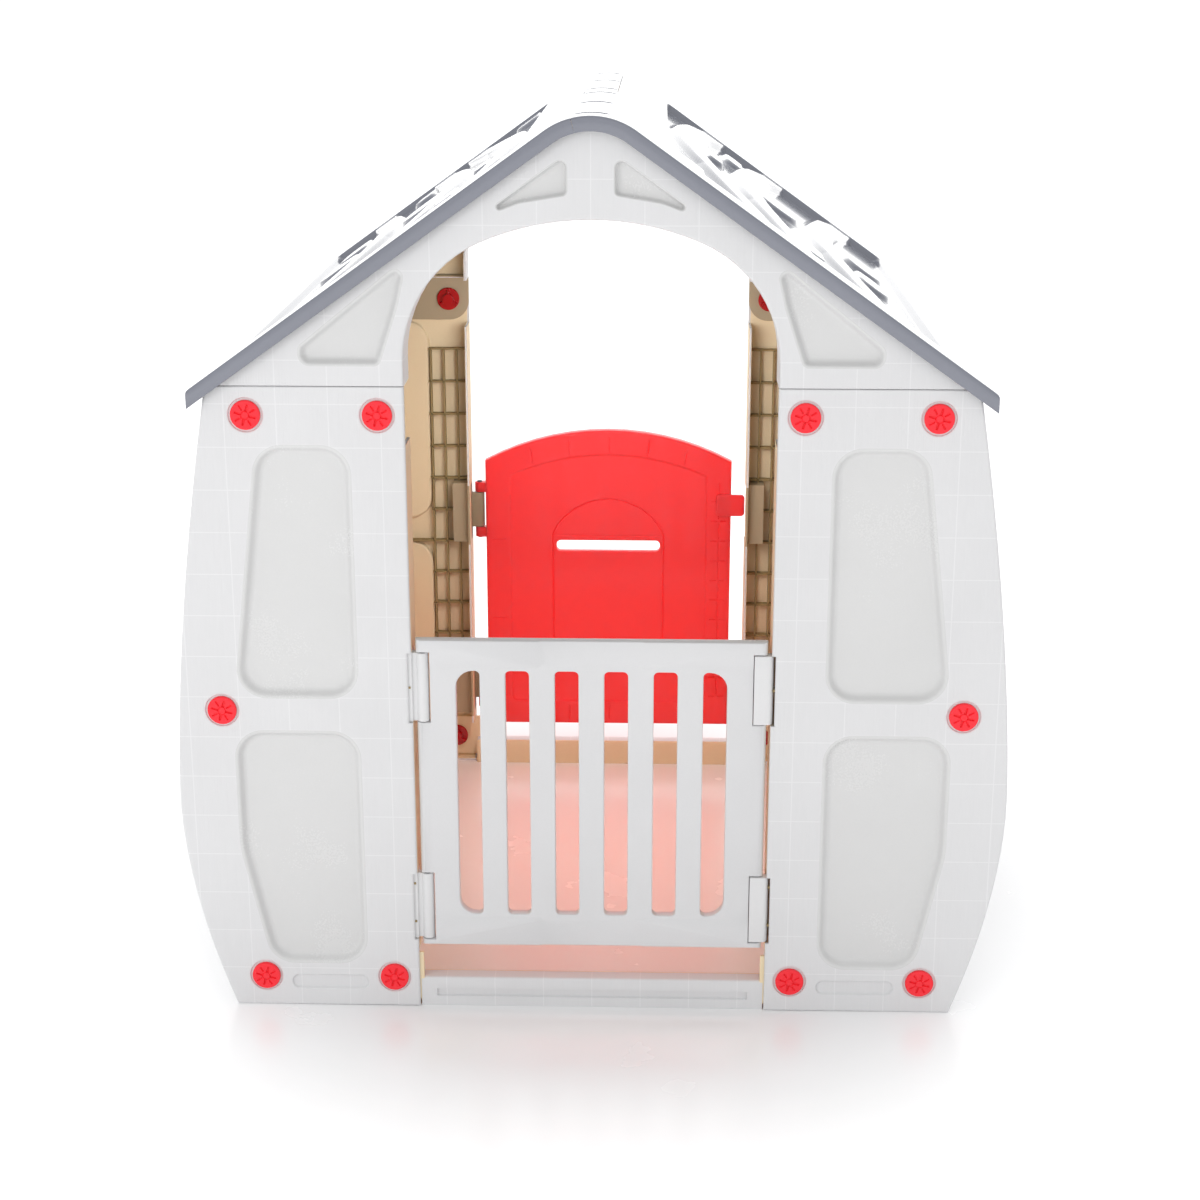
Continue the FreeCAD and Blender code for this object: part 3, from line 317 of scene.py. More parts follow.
def screw_places():
    """Five screws on a panel: two under the seam, one at the waist and two at the foot."""
    inner = DOORWAY + 32.0
    outer = [(edge_x(z) - 53.0, z) for z in (SCREW_SEAM_Z, SCREW_WAIST_Z, SCREW_FOOT_Z)]
    return [(inner, SCREW_SEAM_Z), outer[0], outer[1], (inner, SCREW_FOOT_Z), outer[2]]


def panel_outline():
    """Corners of a panel, with each one's flange depth and whether a pocket's hollow or shell is there."""
    corners = [(DOORWAY, 0.0, 0)]
    marks = [(RIM, False, False)]
    levels = 36
    for i in range(levels + 1):
        z = SEAM * i / levels
        corners.append((edge_x(z), z, 0))
        marks.append((RIM, False, False))
    corners += [(edge_x(SEAM) - SKIN, SEAM, 0), (edge_x(SEAM) - SKIN - 0.2, SEAM, 0), (DOORWAY, SEAM, 0)]
    marks += [(RIM, False, False), (SKIN, False, False), (SKIN, False, False)]
    shares = [1.0] * (len(corners) - 4) + [SEAM_SHARE] * 3 + [1.0]
    heights = [JAMB_HEAD]
    for foot, head in reversed(POCKETS):
        heights += [head + POCKET_WALL, head, foot, foot - POCKET_WALL]
    for level in heights + [JAMB_FOOT, SKIN]:
        for z in (level + 0.1, level - 0.1):
            rim = JAMB_RIM if JAMB_FOOT < z < JAMB_HEAD else (RIM if z < SKIN else SKIN)
            hollow = any(foot < z < head for foot, head in POCKETS)
            shell = any(foot - POCKET_WALL < z < head + POCKET_WALL for foot, head in POCKETS)
            corners.append((DOORWAY, z, 0))
            marks.append((rim, hollow, shell))
            shares.append(1.0)
    return corners, marks, shares


def panel_border():
    """(inset, depth, reach of the pocket's hollow, reach of its shell) from the face round to the back."""
    mouth, hollow, shell = 4.5, 26.0, 25.0
    steps = [(inset, depth, mouth, 0.0) for inset, depth in FACE_EDGE]
    steps += [(0.0, SKIN, mouth, 0.0), (0.0, SKIN + 0.02, hollow, 0.0), (0.0, 32.0, hollow, 0.0)]
    steps += [(0.0, 32.02, 0.0, 0.0), (0.0, 51.4, 0.0, 0.0), (0.6, 52.0, 0.0, 0.0), (3.4, 52.0, 0.0, 0.0)]
    steps += [(4.0, 51.4, 0.0, 0.0), (4.0, 35.0, 0.0, 0.0), (4.0, 34.98, 0.0, shell)]
    return steps + [(4.0, SKIN, 0.0, shell), (5.5, SKIN, 0.0, shell)]


def flange_depth(depth, rim):
    """A depth drawn for the deepest flange, scaled to one that is rim deep. The skin keeps its own."""
    return depth if depth <= SKIN else SKIN + (depth - SKIN) * (rim - SKIN) / (JAMB_RIM - SKIN)


def panel_mould():
    """The panel right of the gate, drawn with its depth measured back from the face."""
    mould = bmesh.new()
    corners, marks, shares = panel_outline()
    rows = []
    for inset, depth, hollow_reach, shell_reach in panel_border():
        row = []
        for point, (rim, hollow, shell) in zip(loop(corners, inset, shares), marks):
            reach = hollow_reach * hollow + shell_reach * shell
            row.append((point.x + reach, flange_depth(depth, rim), point.y))
        rows.append(row)
    lip = len(FACE_EDGE) + 6
    outside = courses(mould, rows[:lip + 1])
    inside = courses(mould, rows[lip:], finish=2)
    face = [outside[0]]
    back = [inside[-1]]
    for field in sunk_fields():
        face.append(relief(mould, field, WELL, finish=1, steps=10)[0])
        back.append(relief(mould, field, BULGE, finish=2, steps=10)[0])
    for x, z in screw_places():
        seat = turned_ring(mould, x, z, SCREW_SEAT)
        face.append(seat[0])
        back.append(seat[-1])
    near, far, foot, head, radius = DOORWAY + 65.0, DOORWAY + 163.0, 23.0, 43.0, 9.5
    slot = [(near, foot, radius), (far, foot, radius), (far, head, radius), (near, head, radius)]
    face.append(relief(mould, slot, SHALLOW)[0])
    cover(mould, face)
    cover(mould, back, finish=2)
    for item in mould.faces:
        middle = item.calc_center_median()
        # Painted light: the jamb flange behind the face takes the beige inside colour that paints back-light
        # and shade.
        if middle.y > SKIN and middle.x < DOORWAY + 0.5:
            item.material_index = 2
        # Painted shade: the pocket shells take the brown colour where the doubled plastic lets less light
        # through.
        in_pocket = any(foot - 3.2 < middle.z < head + 3.2 for foot, head in POCKETS)
        if in_pocket and middle.y > SKIN + 0.5 and DOORWAY + 0.5 < middle.x < DOORWAY + 30.0:
            item.material_index = 3
    return mould


panel = panel_mould()
for end, front_back in (("front", -1), ("rear", 1)):
    for hand, left_right in (("right", 1), ("left", -1)):
        name = end + "_" + hand + "_panel"
        spot = lambda u, depth, v, a=left_right, b=front_back: (a * u, b * (WALL_FACE - depth), v)
        # Inner faces and the jamb flange take the beige colour that paints back-light; the pocket shells take
        # the brown that paints shade.
        finishes = (wall_brushed, field_smooth, inside_painted_backlight, double_wall_painted_shade)
        piece = cast(panel.copy(), name + "_moulding", spot, finishes)
        hand_over(piece, "house", "wall_plastic", name)
panel.free()

# ---- Ribs behind the panels --------------------------------------------------------------------
# A lattice of thin ribs stiffens the inside of every panel. The ribs are part of the moulding;
# they are coloured dark brown as painted shade, for the thicker plastic that lets less light through.

RIB = 2.5
RIB_REACH = 12.0
RIB_PITCH = 52.0
RIB_LEVELS = [117.0 + RIB_PITCH * i for i in range(12)]
# Painted shade: the ribs' dark brown colour stands for the shade of the thicker plastic against the
# back-light.
panel_rib_painted_shade = plastic("panel_rib_painted_shade", (0.30, 0.22, 0.10), 0.6, 0.2, PEBBLED, shade=0.1)


def instancing_tree(name, fixing):
    """Copies of a shape on points: a unit bar sized by each point, or a fixing turned by an angle."""
    tree = bpy.data.node_groups.new(name, "GeometryNodeTree")
    sockets = tree.interface
    sockets.new_socket("Points", in_out="INPUT", socket_type="NodeSocketGeometry")
    sockets.new_socket("Finish", in_out="INPUT", socket_type="NodeSocketMaterial")
    sockets.new_socket("Geometry", in_out="OUTPUT", socket_type="NodeSocketGeometry")
    if fixing:
        sockets.new_socket("Fixing", in_out="INPUT", socket_type="NodeSocketObject")
        sockets.new_socket("Turn", in_out="INPUT", socket_type="NodeSocketFloat")
    start = tree.nodes.new("NodeGroupInput")
    stop = tree.nodes.new("NodeGroupOutput")
    copies = tree.nodes.new("GeometryNodeInstanceOnPoints")
    tree.links.new(start.outputs["Points"], copies.inputs["Points"])
    if fixing:
        source = tree.nodes.new("GeometryNodeObjectInfo")
        spin = tree.nodes.new("ShaderNodeCombineXYZ")
        tree.links.new(start.outputs["Fixing"], source.inputs["Object"])
        tree.links.new(source.outputs["Geometry"], copies.inputs["Instance"])
        tree.links.new(start.outputs["Turn"], spin.inputs["Z"])
        tree.links.new(spin.outputs["Vector"], copies.inputs["Rotation"])
    else:
        source = tree.nodes.new("GeometryNodeMeshCube")
        size = tree.nodes.new("GeometryNodeInputNamedAttribute")
        size.data_type = "FLOAT_VECTOR"
        size.inputs["Name"].default_value = "size"
        tree.links.new(source.outputs["Mesh"], copies.inputs["Instance"])
        tree.links.new(size.outputs["Attribute"], copies.inputs["Scale"])
    real = tree.nodes.new("GeometryNodeRealizeInstances")
    paint = tree.nodes.new("GeometryNodeSetMaterial")
    tree.links.new(copies.outputs["Instances"], real.inputs["Geometry"])
    tree.links.new(real.outputs["Geometry"], paint.inputs["Geometry"])
    tree.links.new(start.outputs["Finish"], paint.inputs["Material"])
    tree.links.new(paint.outputs["Geometry"], stop.inputs["Geometry"])
    return tree


def grown_copies(name, tree, points, values, sizes=None):
    """Runs the tree on the points and gives the copies back as one plain mesh piece."""
    cloud = bpy.data.meshes.new(name + "_points")
    cloud.from_pydata([Vector(point) * MM for point in points], [], [])
    if sizes:
        attribute = cloud.attributes.new("size", "FLOAT_VECTOR", "POINT")
        for entry, size in zip(attribute.data, sizes):
            entry.vector = Vector(size) * MM
    holder = bpy.data.objects.new(name + "_points", cloud)
    bpy.context.scene.collection.objects.link(holder)
    modifier = holder.modifiers.new("copies", "NODES")
    modifier.node_group = tree
    for item in tree.interface.items_tree:
        if item.name in values:
            modifier[item.identifier] = values[item.name]
    evaluated = holder.evaluated_get(bpy.context.evaluated_depsgraph_get())
    mesh = bpy.data.meshes.new_from_object(evaluated)
    bpy.data.objects.remove(holder)
    piece = bpy.data.objects.new(name, mesh)
    bpy.context.scene.collection.objects.link(piece)
    return piece


def rib_stretches(z):
    """Where a level rib runs: from the jamb to the outer flange, stopping at the backs of the fields."""
    near, far = DOORWAY + SKIN / 2, edge_x(z) - 3 * SKIN
    for field in sunk_fields():
        outer = field[1:-1]
        for low, high in zip(outer, outer[1:]):
            if low[1] <= z <= high[1]:
                share = (z - low[1]) / (high[1] - low[1])
                side = low[0] + share * (high[0] - low[0])
                return [(near, field[0][0] - 2.0), (side + 2.0, far)]
    return [(near, far)]


bar_tree = instancing_tree("rib_lattice", fixing=False)
for end, front_back in (("front", -1), ("rear", 1)):
    middles, sizes = [], []
    deep = RIB_REACH + 1.0
    y = front_back * (WALL_FACE - SKIN + 1.0 - deep / 2)
    for side in (-1, 1):
        for z in RIB_LEVELS:
            for near, far in rib_stretches(z):
                middles.append((side * (near + far) / 2, y, z))
                sizes.append((far - near, deep, RIB))
        for i in range(3):
            middles.append((side * (DOORWAY + 20.5 * (i + 1)), y, (RIB_LEVELS[0] + RIB_LEVELS[-1]) / 2))
            sizes.append((RIB, deep, RIB_LEVELS[-1] - RIB_LEVELS[0]))
    ribs = grown_copies(end + "_panel_ribs", bar_tree, middles, {"Finish": panel_rib_painted_shade}, sizes)
    hand_over(ribs, "house", "wall_plastic")

# ---- Thresholds --------------------------------------------------------------------------------
# A hollow sill closes the foot of each doorway. It is one moulding with a flat tongue at each
# end, and the tongues are clamped behind the panels by the inner foot screws.

SILL = 39.0
SILL_HALF = DOORWAY - 1.5
SILL_FACE = WALL_FACE - 4.0
PLATE_BACK = WALL_FACE - SKIN - 0.3


def slab_edge(low, high, ease):
    """The eased edge of a slab between two depths, as (inset, depth) steps."""
    profile = [(2.5 * ease, low), (ease, low), (0.3 * ease, low + 0.3 * ease), (0.0, low + ease)]
    return profile + [(0.0, high - ease), (0.3 * ease, high - 0.3 * ease), (ease, high), (2.5 * ease, high)]


def plate(mould, corners, low, high, ease=0.8, finish=0, steps=6):
    """A closed slab with eased edges between two depths."""
    rings = relief(mould, corners, slab_edge(low, high, ease), finish, False, steps)
    cover(mould, rings[:1], finish)
    cover(mould, rings[-1:], finish)


def threshold_mould():
    """The front sill, drawn with its depth measured down from the top."""
    mould = bmesh.new()
    back = WALL_FACE - 28.0
    slot = SILL_HALF - 20.0
    corners = [(-SILL_HALF, -SILL_FACE, 0), (-slot - 0.3, -SILL_FACE, 0), (-slot, -SILL_FACE, 0),
               (slot, -SILL_FACE, 0), (slot + 0.3, -SILL_FACE, 0), (SILL_HALF, -SILL_FACE, 0),
               (SILL_HALF, -back, 0), (-SILL_HALF, -back, 0)]
    steps = [(5.0, 0.0, 0), (3.5, 0.0, 0), (1.6, 0.4, 0), (0.5, 1.5, 0), (0.0, 3.2, 0), (0.0, 15.6, 0)]
    steps += [(0.0, 16.6, 3.2), (0.0, 25.4, 3.2), (0.0, 26.4, 0)]
    steps += [(0.0, SILL, 0), (4.0, SILL, 0), (4.0, 4.0, 0)]
    rows = []
    for inset, depth, sunk in steps:
        row = []
        for point in loop(corners, inset):
            groove = sunk if abs(point.x) <= slot + 0.1 and point.y < -SILL_FACE + 1 else 0.0
            row.append((point.x, SILL_FACE + point.y + groove, SILL - depth))
        rows.append(row)
    rings = courses(mould, rows)
    cover(mould, rings[:1])
    cover(mould, rings[-1:])
    # Painted light: the sill's back and its tongues take the beige inside colour that paints back-light.
    for item in mould.faces:
        if item.calc_center_median().y > 20.0:
            item.material_index = 1
    for side in (1, -1):
        near, far = SILL_HALF - SKIN, DOORWAY + 60.0
        tongue = [(near, 8.0, 1), (far, 8.0, 10), (far, 74.0, 10), (near, 74.0, 1)]
        top = SILL_FACE - PLATE_BACK
        plate(mould, tongue if side > 0 else flip(tongue), top, top + SKIN, finish=1)
    return mould


sill = threshold_mould()
for end, way in (("front", 1), ("rear", -1)):
    spot = turned_about(way, SILL_FACE)
    piece = cast(sill.copy(), end + "_threshold_moulding", spot, (wall_brushed, inside_painted_backlight))
    hand_over(piece, "house", "wall_plastic", end + "_threshold")
sill.free()

# ---- Side walls --------------------------------------------------------------------------------
# One curved sheet closes each side, with a four-pane window whose frame is thicker on the inside.
# Its end combs slide into the panels' outer flanges and its lugs are clamped by two screws each.

SIDE_END = WALL_FACE - RIM - 0.3
WINDOW = (430.0, 670.0, 140.0, 36.0)
WINDOW_FRAME = 22.0
MULLION = 20.0
TOOTH_FOOT, TOOTH_PITCH, TOOTH_HEIGHT = 56.0, 88.0, 34.0
side_brushed = plastic("side_brushed", (0.675, 0.675, 0.683), 0.42, 0.34, BRUSHED_UPRIGHT)
# Painted shade: the side wall's ribs are coloured brown for the shade of the thicker plastic against the
# back-light.
side_painted_shade = plastic("side_rib_painted_shade", (0.52, 0.41, 0.24), 0.6, 0.2, PEBBLED, shade=0.1)


def window_panes():
    """The four openings left by the window's two crossing bars."""
    low, high, half, radius = WINDOW
    middle = (low + high) / 2
    bar = MULLION / 2
    panes = []
    for side in (1, -1):
        upper = [(bar, middle + bar, 5), (half, middle + bar, 5), (half, high, radius), (bar, high, 5)]
        lower = [(bar, low, 5), (half, low, radius), (half, middle - bar, 5), (bar, middle - bar, 5)]
        panes += [upper, lower] if side > 0 else [flip(upper), flip(lower)]
    return panes


def slice_levels(mould, levels, axis):
    """Cuts the flat sheet along lines across it, so that it can be bent without creasing."""
    for level in levels:
        geometry = mould.verts[:] + mould.edges[:] + mould.faces[:]
        bmesh.ops.bisect_plane(mould, geom=geometry, dist=1e-5, plane_co=axis * level, plane_no=axis)


def side_wall_mould():
    """The side wall as a flat sheet, drawn with its depth measured in from the outer face."""
    mould = bmesh.new()
    sheet = [(-SIDE_END, 0.0, 0), (SIDE_END, 0.0, 0), (SIDE_END, SEAM, 0), (-SIDE_END, SEAM, 0)]
    edge = FACE_EDGE + ((0.0, SKIN - 0.3), (0.3, SKIN), (5.5, SKIN))
    shares = [0.4] * 4
    rings = relief(mould, sheet, edge, capped=False, shares=shares)
    low, high, half, radius = WINDOW
    out, round_r = half + WINDOW_FRAME, radius + WINDOW_FRAME
    foot, head = low - WINDOW_FRAME, high + WINDOW_FRAME
    frame_out = [(-out, foot, round_r), (out, foot, round_r), (out, head, round_r), (-out, head, round_r)]
    rise = ((-3.0, SKIN), (-1.2, SKIN), (0.0, SKIN + 1.5), (0.4, 12.0), (1.2, 13.4), (2.8, 14.0),
            (4.0, 14.0))
    inner_frame = relief(mould, frame_out, rise, finish=1, capped=False)
    through = ((-3.5, 0.0), (-2.2, 0.0), (-0.8, 0.5), (-0.2, 1.3), (0.0, 2.5), (0.0, 12.2), (-0.6, 13.4),
               (-2.0, 14.0), (-3.0, 14.0))
    face, top = [rings[0]], [inner_frame[-1]]
    for pane in window_panes():
        opening = relief(mould, pane, through, capped=False)
        face.append(opening[0])
        top.append(opening[-1])
    cover(mould, face)
    cover(mould, top, finish=1)
    cover(mould, [rings[-1], inner_frame[0]], finish=1)
    foot = [(-SIDE_END, 0.0, 0), (SIDE_END, 0.0, 0), (SIDE_END, SKIN, 0), (-SIDE_END, SKIN, 0)]
    plate(mould, foot, 2.0, RIM, finish=1, ease=0.5)
    for side in (1, -1):
        for i in range(8):
            low = TOOTH_FOOT + TOOTH_PITCH * i
            high = low + TOOTH_HEIGHT
            near, far = SIDE_END - 12, WALL_FACE - 5.0
            tooth = [(near, low, 1), (far, low, 5), (far, high, 5), (near, high, 1)]
            plate(mould, tooth if side > 0 else flip(tooth), 4.3, 7.8, finish=1, ease=0.5)
            near, far, low, high = SIDE_END - 11.4, SIDE_END - 0.2, low + 0.4, high - 0.4
            root = [(near, low, 1), (far, low, 1), (far, high, 1), (near, high, 1)]
            plate(mould, root if side > 0 else flip(root), 2.1, 7.5, finish=1, ease=0.5)
    slice_levels(mould, [25.0 * i for i in range(1, 32)], Vector((0, 0, 1)))
    return mould


def side_rib_bars():
    """Middles and sizes of the ribs on a side wall, laid out flat and stopping short of the window."""
    low, high, half, _ = WINDOW
    middles, sizes = [], []
    for z in RIB_LEVELS + [RIB_LEVELS[-1] + RIB_PITCH]:
        stretches = [(-SIDE_END + 20, SIDE_END - 20)]
        if low - 24 < z < high + 24:
            stretches = [(half + 20, SIDE_END - 20), (-SIDE_END + 20, -half - 20)]
        for near, far in stretches:
            middles.append(((near + far) / 2, 7.0, z))
            sizes.append((far - near, 10.0, RIB))
    for i in range(-3, 4):
        y = 2 * RIB_PITCH * i
        stretches = [(SKIN, SEAM - SKIN)]
        if abs(y) < half + WINDOW_FRAME:
            stretches = [(SKIN, low - 20), (high + 20, SEAM - SKIN)]
        for near, far in stretches:
            middles.append((y, 7.0, (near + far) / 2))
            sizes.append((RIB, 10.0, far - near))
    return middles, sizes


def lug_mould():
    """The side wall's four screw lugs, drawn as they stand behind the panels."""
    mould = bmesh.new()
    for x, z in (screw_places()[2], screw_places()[4]):
        low, high = z - 14.0, z + 14.0
        reach = min(edge_x(low), edge_x(high)) - SKIN - 0.5
        lug = [(x - 28.0, low, 8), (reach, low, 1), (reach, high, 1), (x - 28.0, high, 8)]
        plate(mould, lug, 4.3, 8.3, finish=0)
        web = [(reach - SKIN, low, 0.5), (reach, low, 0.5), (reach, high, 0.5), (reach - SKIN, high, 0.5)]
        plate(mould, web, 4.3, RIM + 12.0, finish=0, ease=0.4)
    return mould


side_sheet = side_wall_mould()
for hand, way in (("right", 1), ("left", -1)):
    spot = lambda u, depth, v, way=way: (way * (edge_x(v) - depth), way * u, v)
    # Painted light: the window frame's inner side, the back, the foot and the combs take the beige inside
    # colour for back-light.
    piece = cast(side_sheet.copy(), hand + "_side_wall_moulding", spot, (side_brushed, inside_painted_backlight))
    hand_over(piece, "house", "wall_plastic", hand + "_side_wall")
    for end in (-1, 1):
        lug_spot = lambda u, depth, v, way=way, end=end: (way * u, end * (WALL_FACE - depth), v)
        lug_name = hand + "_side_wall_lugs_" + ("front" if end < 0 else "rear")
        # Painted shade: the lugs are coloured brown where the doubled plastic lets less light through.
        lugs = cast(lug_mould(), lug_name, lug_spot, (double_wall_painted_shade,))
        hand_over(lugs, "house", "wall_plastic")
    middles, sizes = side_rib_bars()
    ribs = grown_copies(hand + "_side_wall_ribs", bar_tree, middles, {"Finish": side_painted_shade}, sizes)
    bent = bmesh.new()
    bent.from_mesh(ribs.data)
    slice_levels(bent, [0.05 * i for i in range(1, 17)], Vector((0, 0, 1)))
    for vert in bent.verts:
        vert.co = Vector(spot(vert.co.x / MM, vert.co.y / MM, vert.co.z / MM)) * MM
    bmesh.ops.recalc_face_normals(bent, faces=bent.faces)
    bent.to_mesh(ribs.data)
    bent.free()
    hand_over(ribs, "house", "wall_plastic")
side_sheet.free()

# ---- Gables ------------------------------------------------------------------------------------
# Each gable is one moulding that sits on two panels and carries the roof. Its foot flange and the
# tongues that reach down behind the panels take the upper screws; a deep flange lines the arch.

RIDGE = 1111.0
CROWN = 90.5
SLOPE = math.radians(35.37)
PEAK = RIDGE + CROWN * (1 / math.cos(SLOPE) - 1)
ROOF_STACK = 14.3
SPRING = 830.0
ARCH_RISE = 164.0
SHOULDER = 150.0


def slope_z(x, depth):
    """Height of a line parallel to the roof's slope, depth under its surface."""
    return PEAK - abs(x) * math.tan(SLOPE) - depth / math.cos(SLOPE)


def arch_points():
    """The three-centred arch from its left spring to its right one."""
    spread = DOORWAY - SHOULDER
    crown = (spread ** 2 + ARCH_RISE ** 2 - SHOULDER ** 2) / (2 * (ARCH_RISE - SHOULDER))
    turn = math.atan2(spread, crown - ARCH_RISE)
    right = []
    for i in range(12):
        angle = (math.pi / 2 - turn) * i / 12
        right.append((spread + SHOULDER * math.cos(angle), SPRING + SHOULDER * math.sin(angle), 0))
    for i in range(8):
        angle = turn * (1 - i / 8)
        right.append((crown * math.sin(angle), SPRING + ARCH_RISE - crown + crown * math.cos(angle), 0))
    return flip(right)[::-1] + [(0.0, SPRING + ARCH_RISE, 0)] + right[::-1]


def gable_mould():
    """The front gable, drawn with its depth measured back from the face."""
    mould = bmesh.new()
    foot = SEAM + 0.3
    reach = (PEAK - ROOF_STACK / math.cos(SLOPE) - foot - SKIN) / math.tan(SLOPE)
    inner = DOORWAY + SKIN
    left_leg = [(-reach, foot, 0), (-inner - 0.2, foot, 0), (-inner, foot, 0), (-DOORWAY, foot, 0)]
    right_leg = flip(left_leg)
    crown_r = CROWN - ROOF_STACK
    top = []
    for i in range(13):
        angle = SLOPE * (1 - i / 6)
        top.append((crown_r * math.sin(angle), RIDGE - CROWN + crown_r * math.cos(angle), 0))
    arch = arch_points()
    head = [(reach, foot + SKIN, 0)] + top + [(-reach, foot + SKIN, 0)]
    corners = left_leg + arch + right_leg + head
    rims = [RIM, RIM] + [JAMB_RIM] * (len(arch) + 4) + [RIM, RIM] + [RIM] * len(head)
    shares = [SEAM_SHARE] * 3 + [1.0] * (len(arch) + 1) + [SEAM_SHARE] * 3 + [1.0] * (len(head) + 1)
    steps = list(FACE_EDGE) + [(0.0, 51.4), (0.6, 52.0), (3.4, 52.0), (4.0, 51.4), (4.0, SKIN), (5.5, SKIN)]
    rows = []
    for inset, depth in steps:
        row = []
        for point, rim in zip(loop(corners, inset, shares), rims):
            row.append((point.x, flange_depth(depth, rim), point.y))
        rows.append(row)
    lip = len(FACE_EDGE) + 2
    outside = courses(mould, rows[:lip + 1])
    inside = courses(mould, rows[lip:], finish=2)
    face, back = [outside[0]], [inside[-1]]
    over_arch = SPRING + ARCH_RISE + 28.0
    peak_field = [(27.0, over_arch, 6), (82.0, over_arch - 9, 60), (132.0, slope_z(132.0, 36.0), 4),
                  (27.0, slope_z(27.0, 36.0), 8)]
    base = SEAM + 26.0
    far = (PEAK - 36.0 / math.cos(SLOPE) - base - 20.0) / math.tan(SLOPE)
    eave_field = [(DOORWAY + 29.0, base, 8), (far, base, 12), (far, base + 20.0, 10),
                  (DOORWAY - 6, slope_z(DOORWAY - 6, 26.0), 8), (DOORWAY + 6, SPRING + 66.0, 80)]
    for field, share, steps in ((peak_field, 0.42, 5), (eave_field, 0.85, 8)):
        well = [(inset * share, depth) for inset, depth in WELL]
        bulge = [(inset * share, depth) for inset, depth in BULGE]
        for outline in (field, flip(field)):
            face.append(relief(mould, outline, well, finish=1, steps=steps)[0])
            back.append(relief(mould, outline, bulge, finish=2, steps=steps)[0])
    cover(mould, face)
    cover(mould, back, finish=2)
    end = screw_places()[1][0] + 28.0
    near, low, high = DOORWAY + 0.3, SEAM - 67.0, SEAM + SKIN
    tongue = [(near, low, 30), (end, low, 30), (end, high, 1), (near, high, 1)]
    for outline in (tongue, flip(tongue)):
        plate(mould, outline, SKIN + 0.3, 2 * SKIN + 0.3, finish=3, steps=8)
    return mould


gable = gable_mould()
for end, way in (("front", 1), ("rear", -1)):
    # Painted light and shade: the back takes the beige inside colour for back-light, the tongues the brown
    # for shade.
    finishes = (wall_brushed, field_smooth, inside_painted_backlight, double_wall_painted_shade)
    piece = cast(gable.copy(), end + "_gable_moulding", turned_about(way, WALL_FACE), finishes)
    hand_over(piece, "house", "wall_plastic", end + "_gable")
gable.free()

# ---- Roof --------------------------------------------------------------------------------------
# Two equal slate-grey halves, one the other turned round, lap at the rounded ridge. Each slope has
# a deep sunk field with three thick waves and rounded pads, and slots are sunk along the ridge.

ROOF_END = 450.0
EAVE = 471.0
ROOF_RIM = 17.1
LAP = 21.85
FIELD = (34.0, 433.0, 380.0, 12.0)
FIELD_DEPTH = 10.0
FIELD_DATUM = 60.0
WAVE_HALF = 23.0
WAVE_TOP = 8.6
PAD_TOP = 7.4
STATIONS = (1.0, 0.69, 0.16, -0.15, -0.46, -1.0)
WAVES = ((122.0, 90.0, 69.0, 79.0, 110.0, 168.0), (232.0, 198.0, 170.0, 171.0, 187.0, 230.0),
         (358.0, 325.0, 295.0, 291.0, 302.0, 341.0))
PADS = ((156.0, 0.6, 36.0, 100.0), (117.0, 0.16, 28.0, 90.0), (219.0, 0.04, 66.0, 120.0),
        (361.0, 0.04, 62.0, 100.0), (359.0, -0.37, 52.0, 100.0), (253.0, -0.74, 38.0, 90.0),
        (70.0, -0.84, 46.0, 90.0))
RIDGE_SLOTS = (41.5, 219.5, 397.5)
SLOT_RUN, SLOT_WIDE, SLOT_DEEP = 21.0, 6.0, 3.0
ROOF_MARGIN = 4.0
LAP_SHARE = 0.25
COARSE = (150.0, 150.0, 150.0)
roof_slate = plastic("roof_slate", (0.150, 0.160, 0.200), 0.16, 0.10, COARSE, shade=0.08, coat=1.0)
roof_slate.node_tree.nodes["Principled BSDF"].inputs["IOR"].default_value = 1.7

tangent = CROWN * SLOPE
datum_run = tangent + (FIELD_DATUM - CROWN * math.sin(SLOPE)) / math.cos(SLOPE)


def eased(value):
    """Goes smoothly from 0 to 1 as the value does."""
    value = min(max(value, 0.0), 1.0)
    return value * value * (3 - 2 * value)


def rounded_gap(u, v, middle_u, middle_v, half_u, half_v, radius):
    """How far a point lies inside a rounded oblong; less than nought outside."""
    out_u = abs(u - middle_u) - half_u + radius
    out_v = abs(v - middle_v) - half_v + radius
    beyond = math.hypot(max(out_u, 0.0), max(out_v, 0.0))
    return radius - beyond - min(max(out_u, out_v), 0.0)


def wave_line(line, share):
    """The wave's slope distance at a share of the field's half length, on a smooth curve."""
    stops = list(STATIONS)
    i = 0
    while i < len(stops) - 2 and share < stops[i + 1]:
        i += 1
    t = (stops[i] - share) / (stops[i] - stops[i + 1])
    before = line[max(i - 1, 0)]
    after = line[min(i + 2, len(line) - 1)]
    start_pull = (line[i + 1] - before) / 2
    stop_pull = (after - line[i]) / 2
    a = 2 * line[i] - 2 * line[i + 1] + start_pull + stop_pull
    b = 3 * line[i + 1] - 3 * line[i] - 2 * start_pull - stop_pull
    return a * t ** 3 + b * t ** 2 + start_pull * t + line[i]


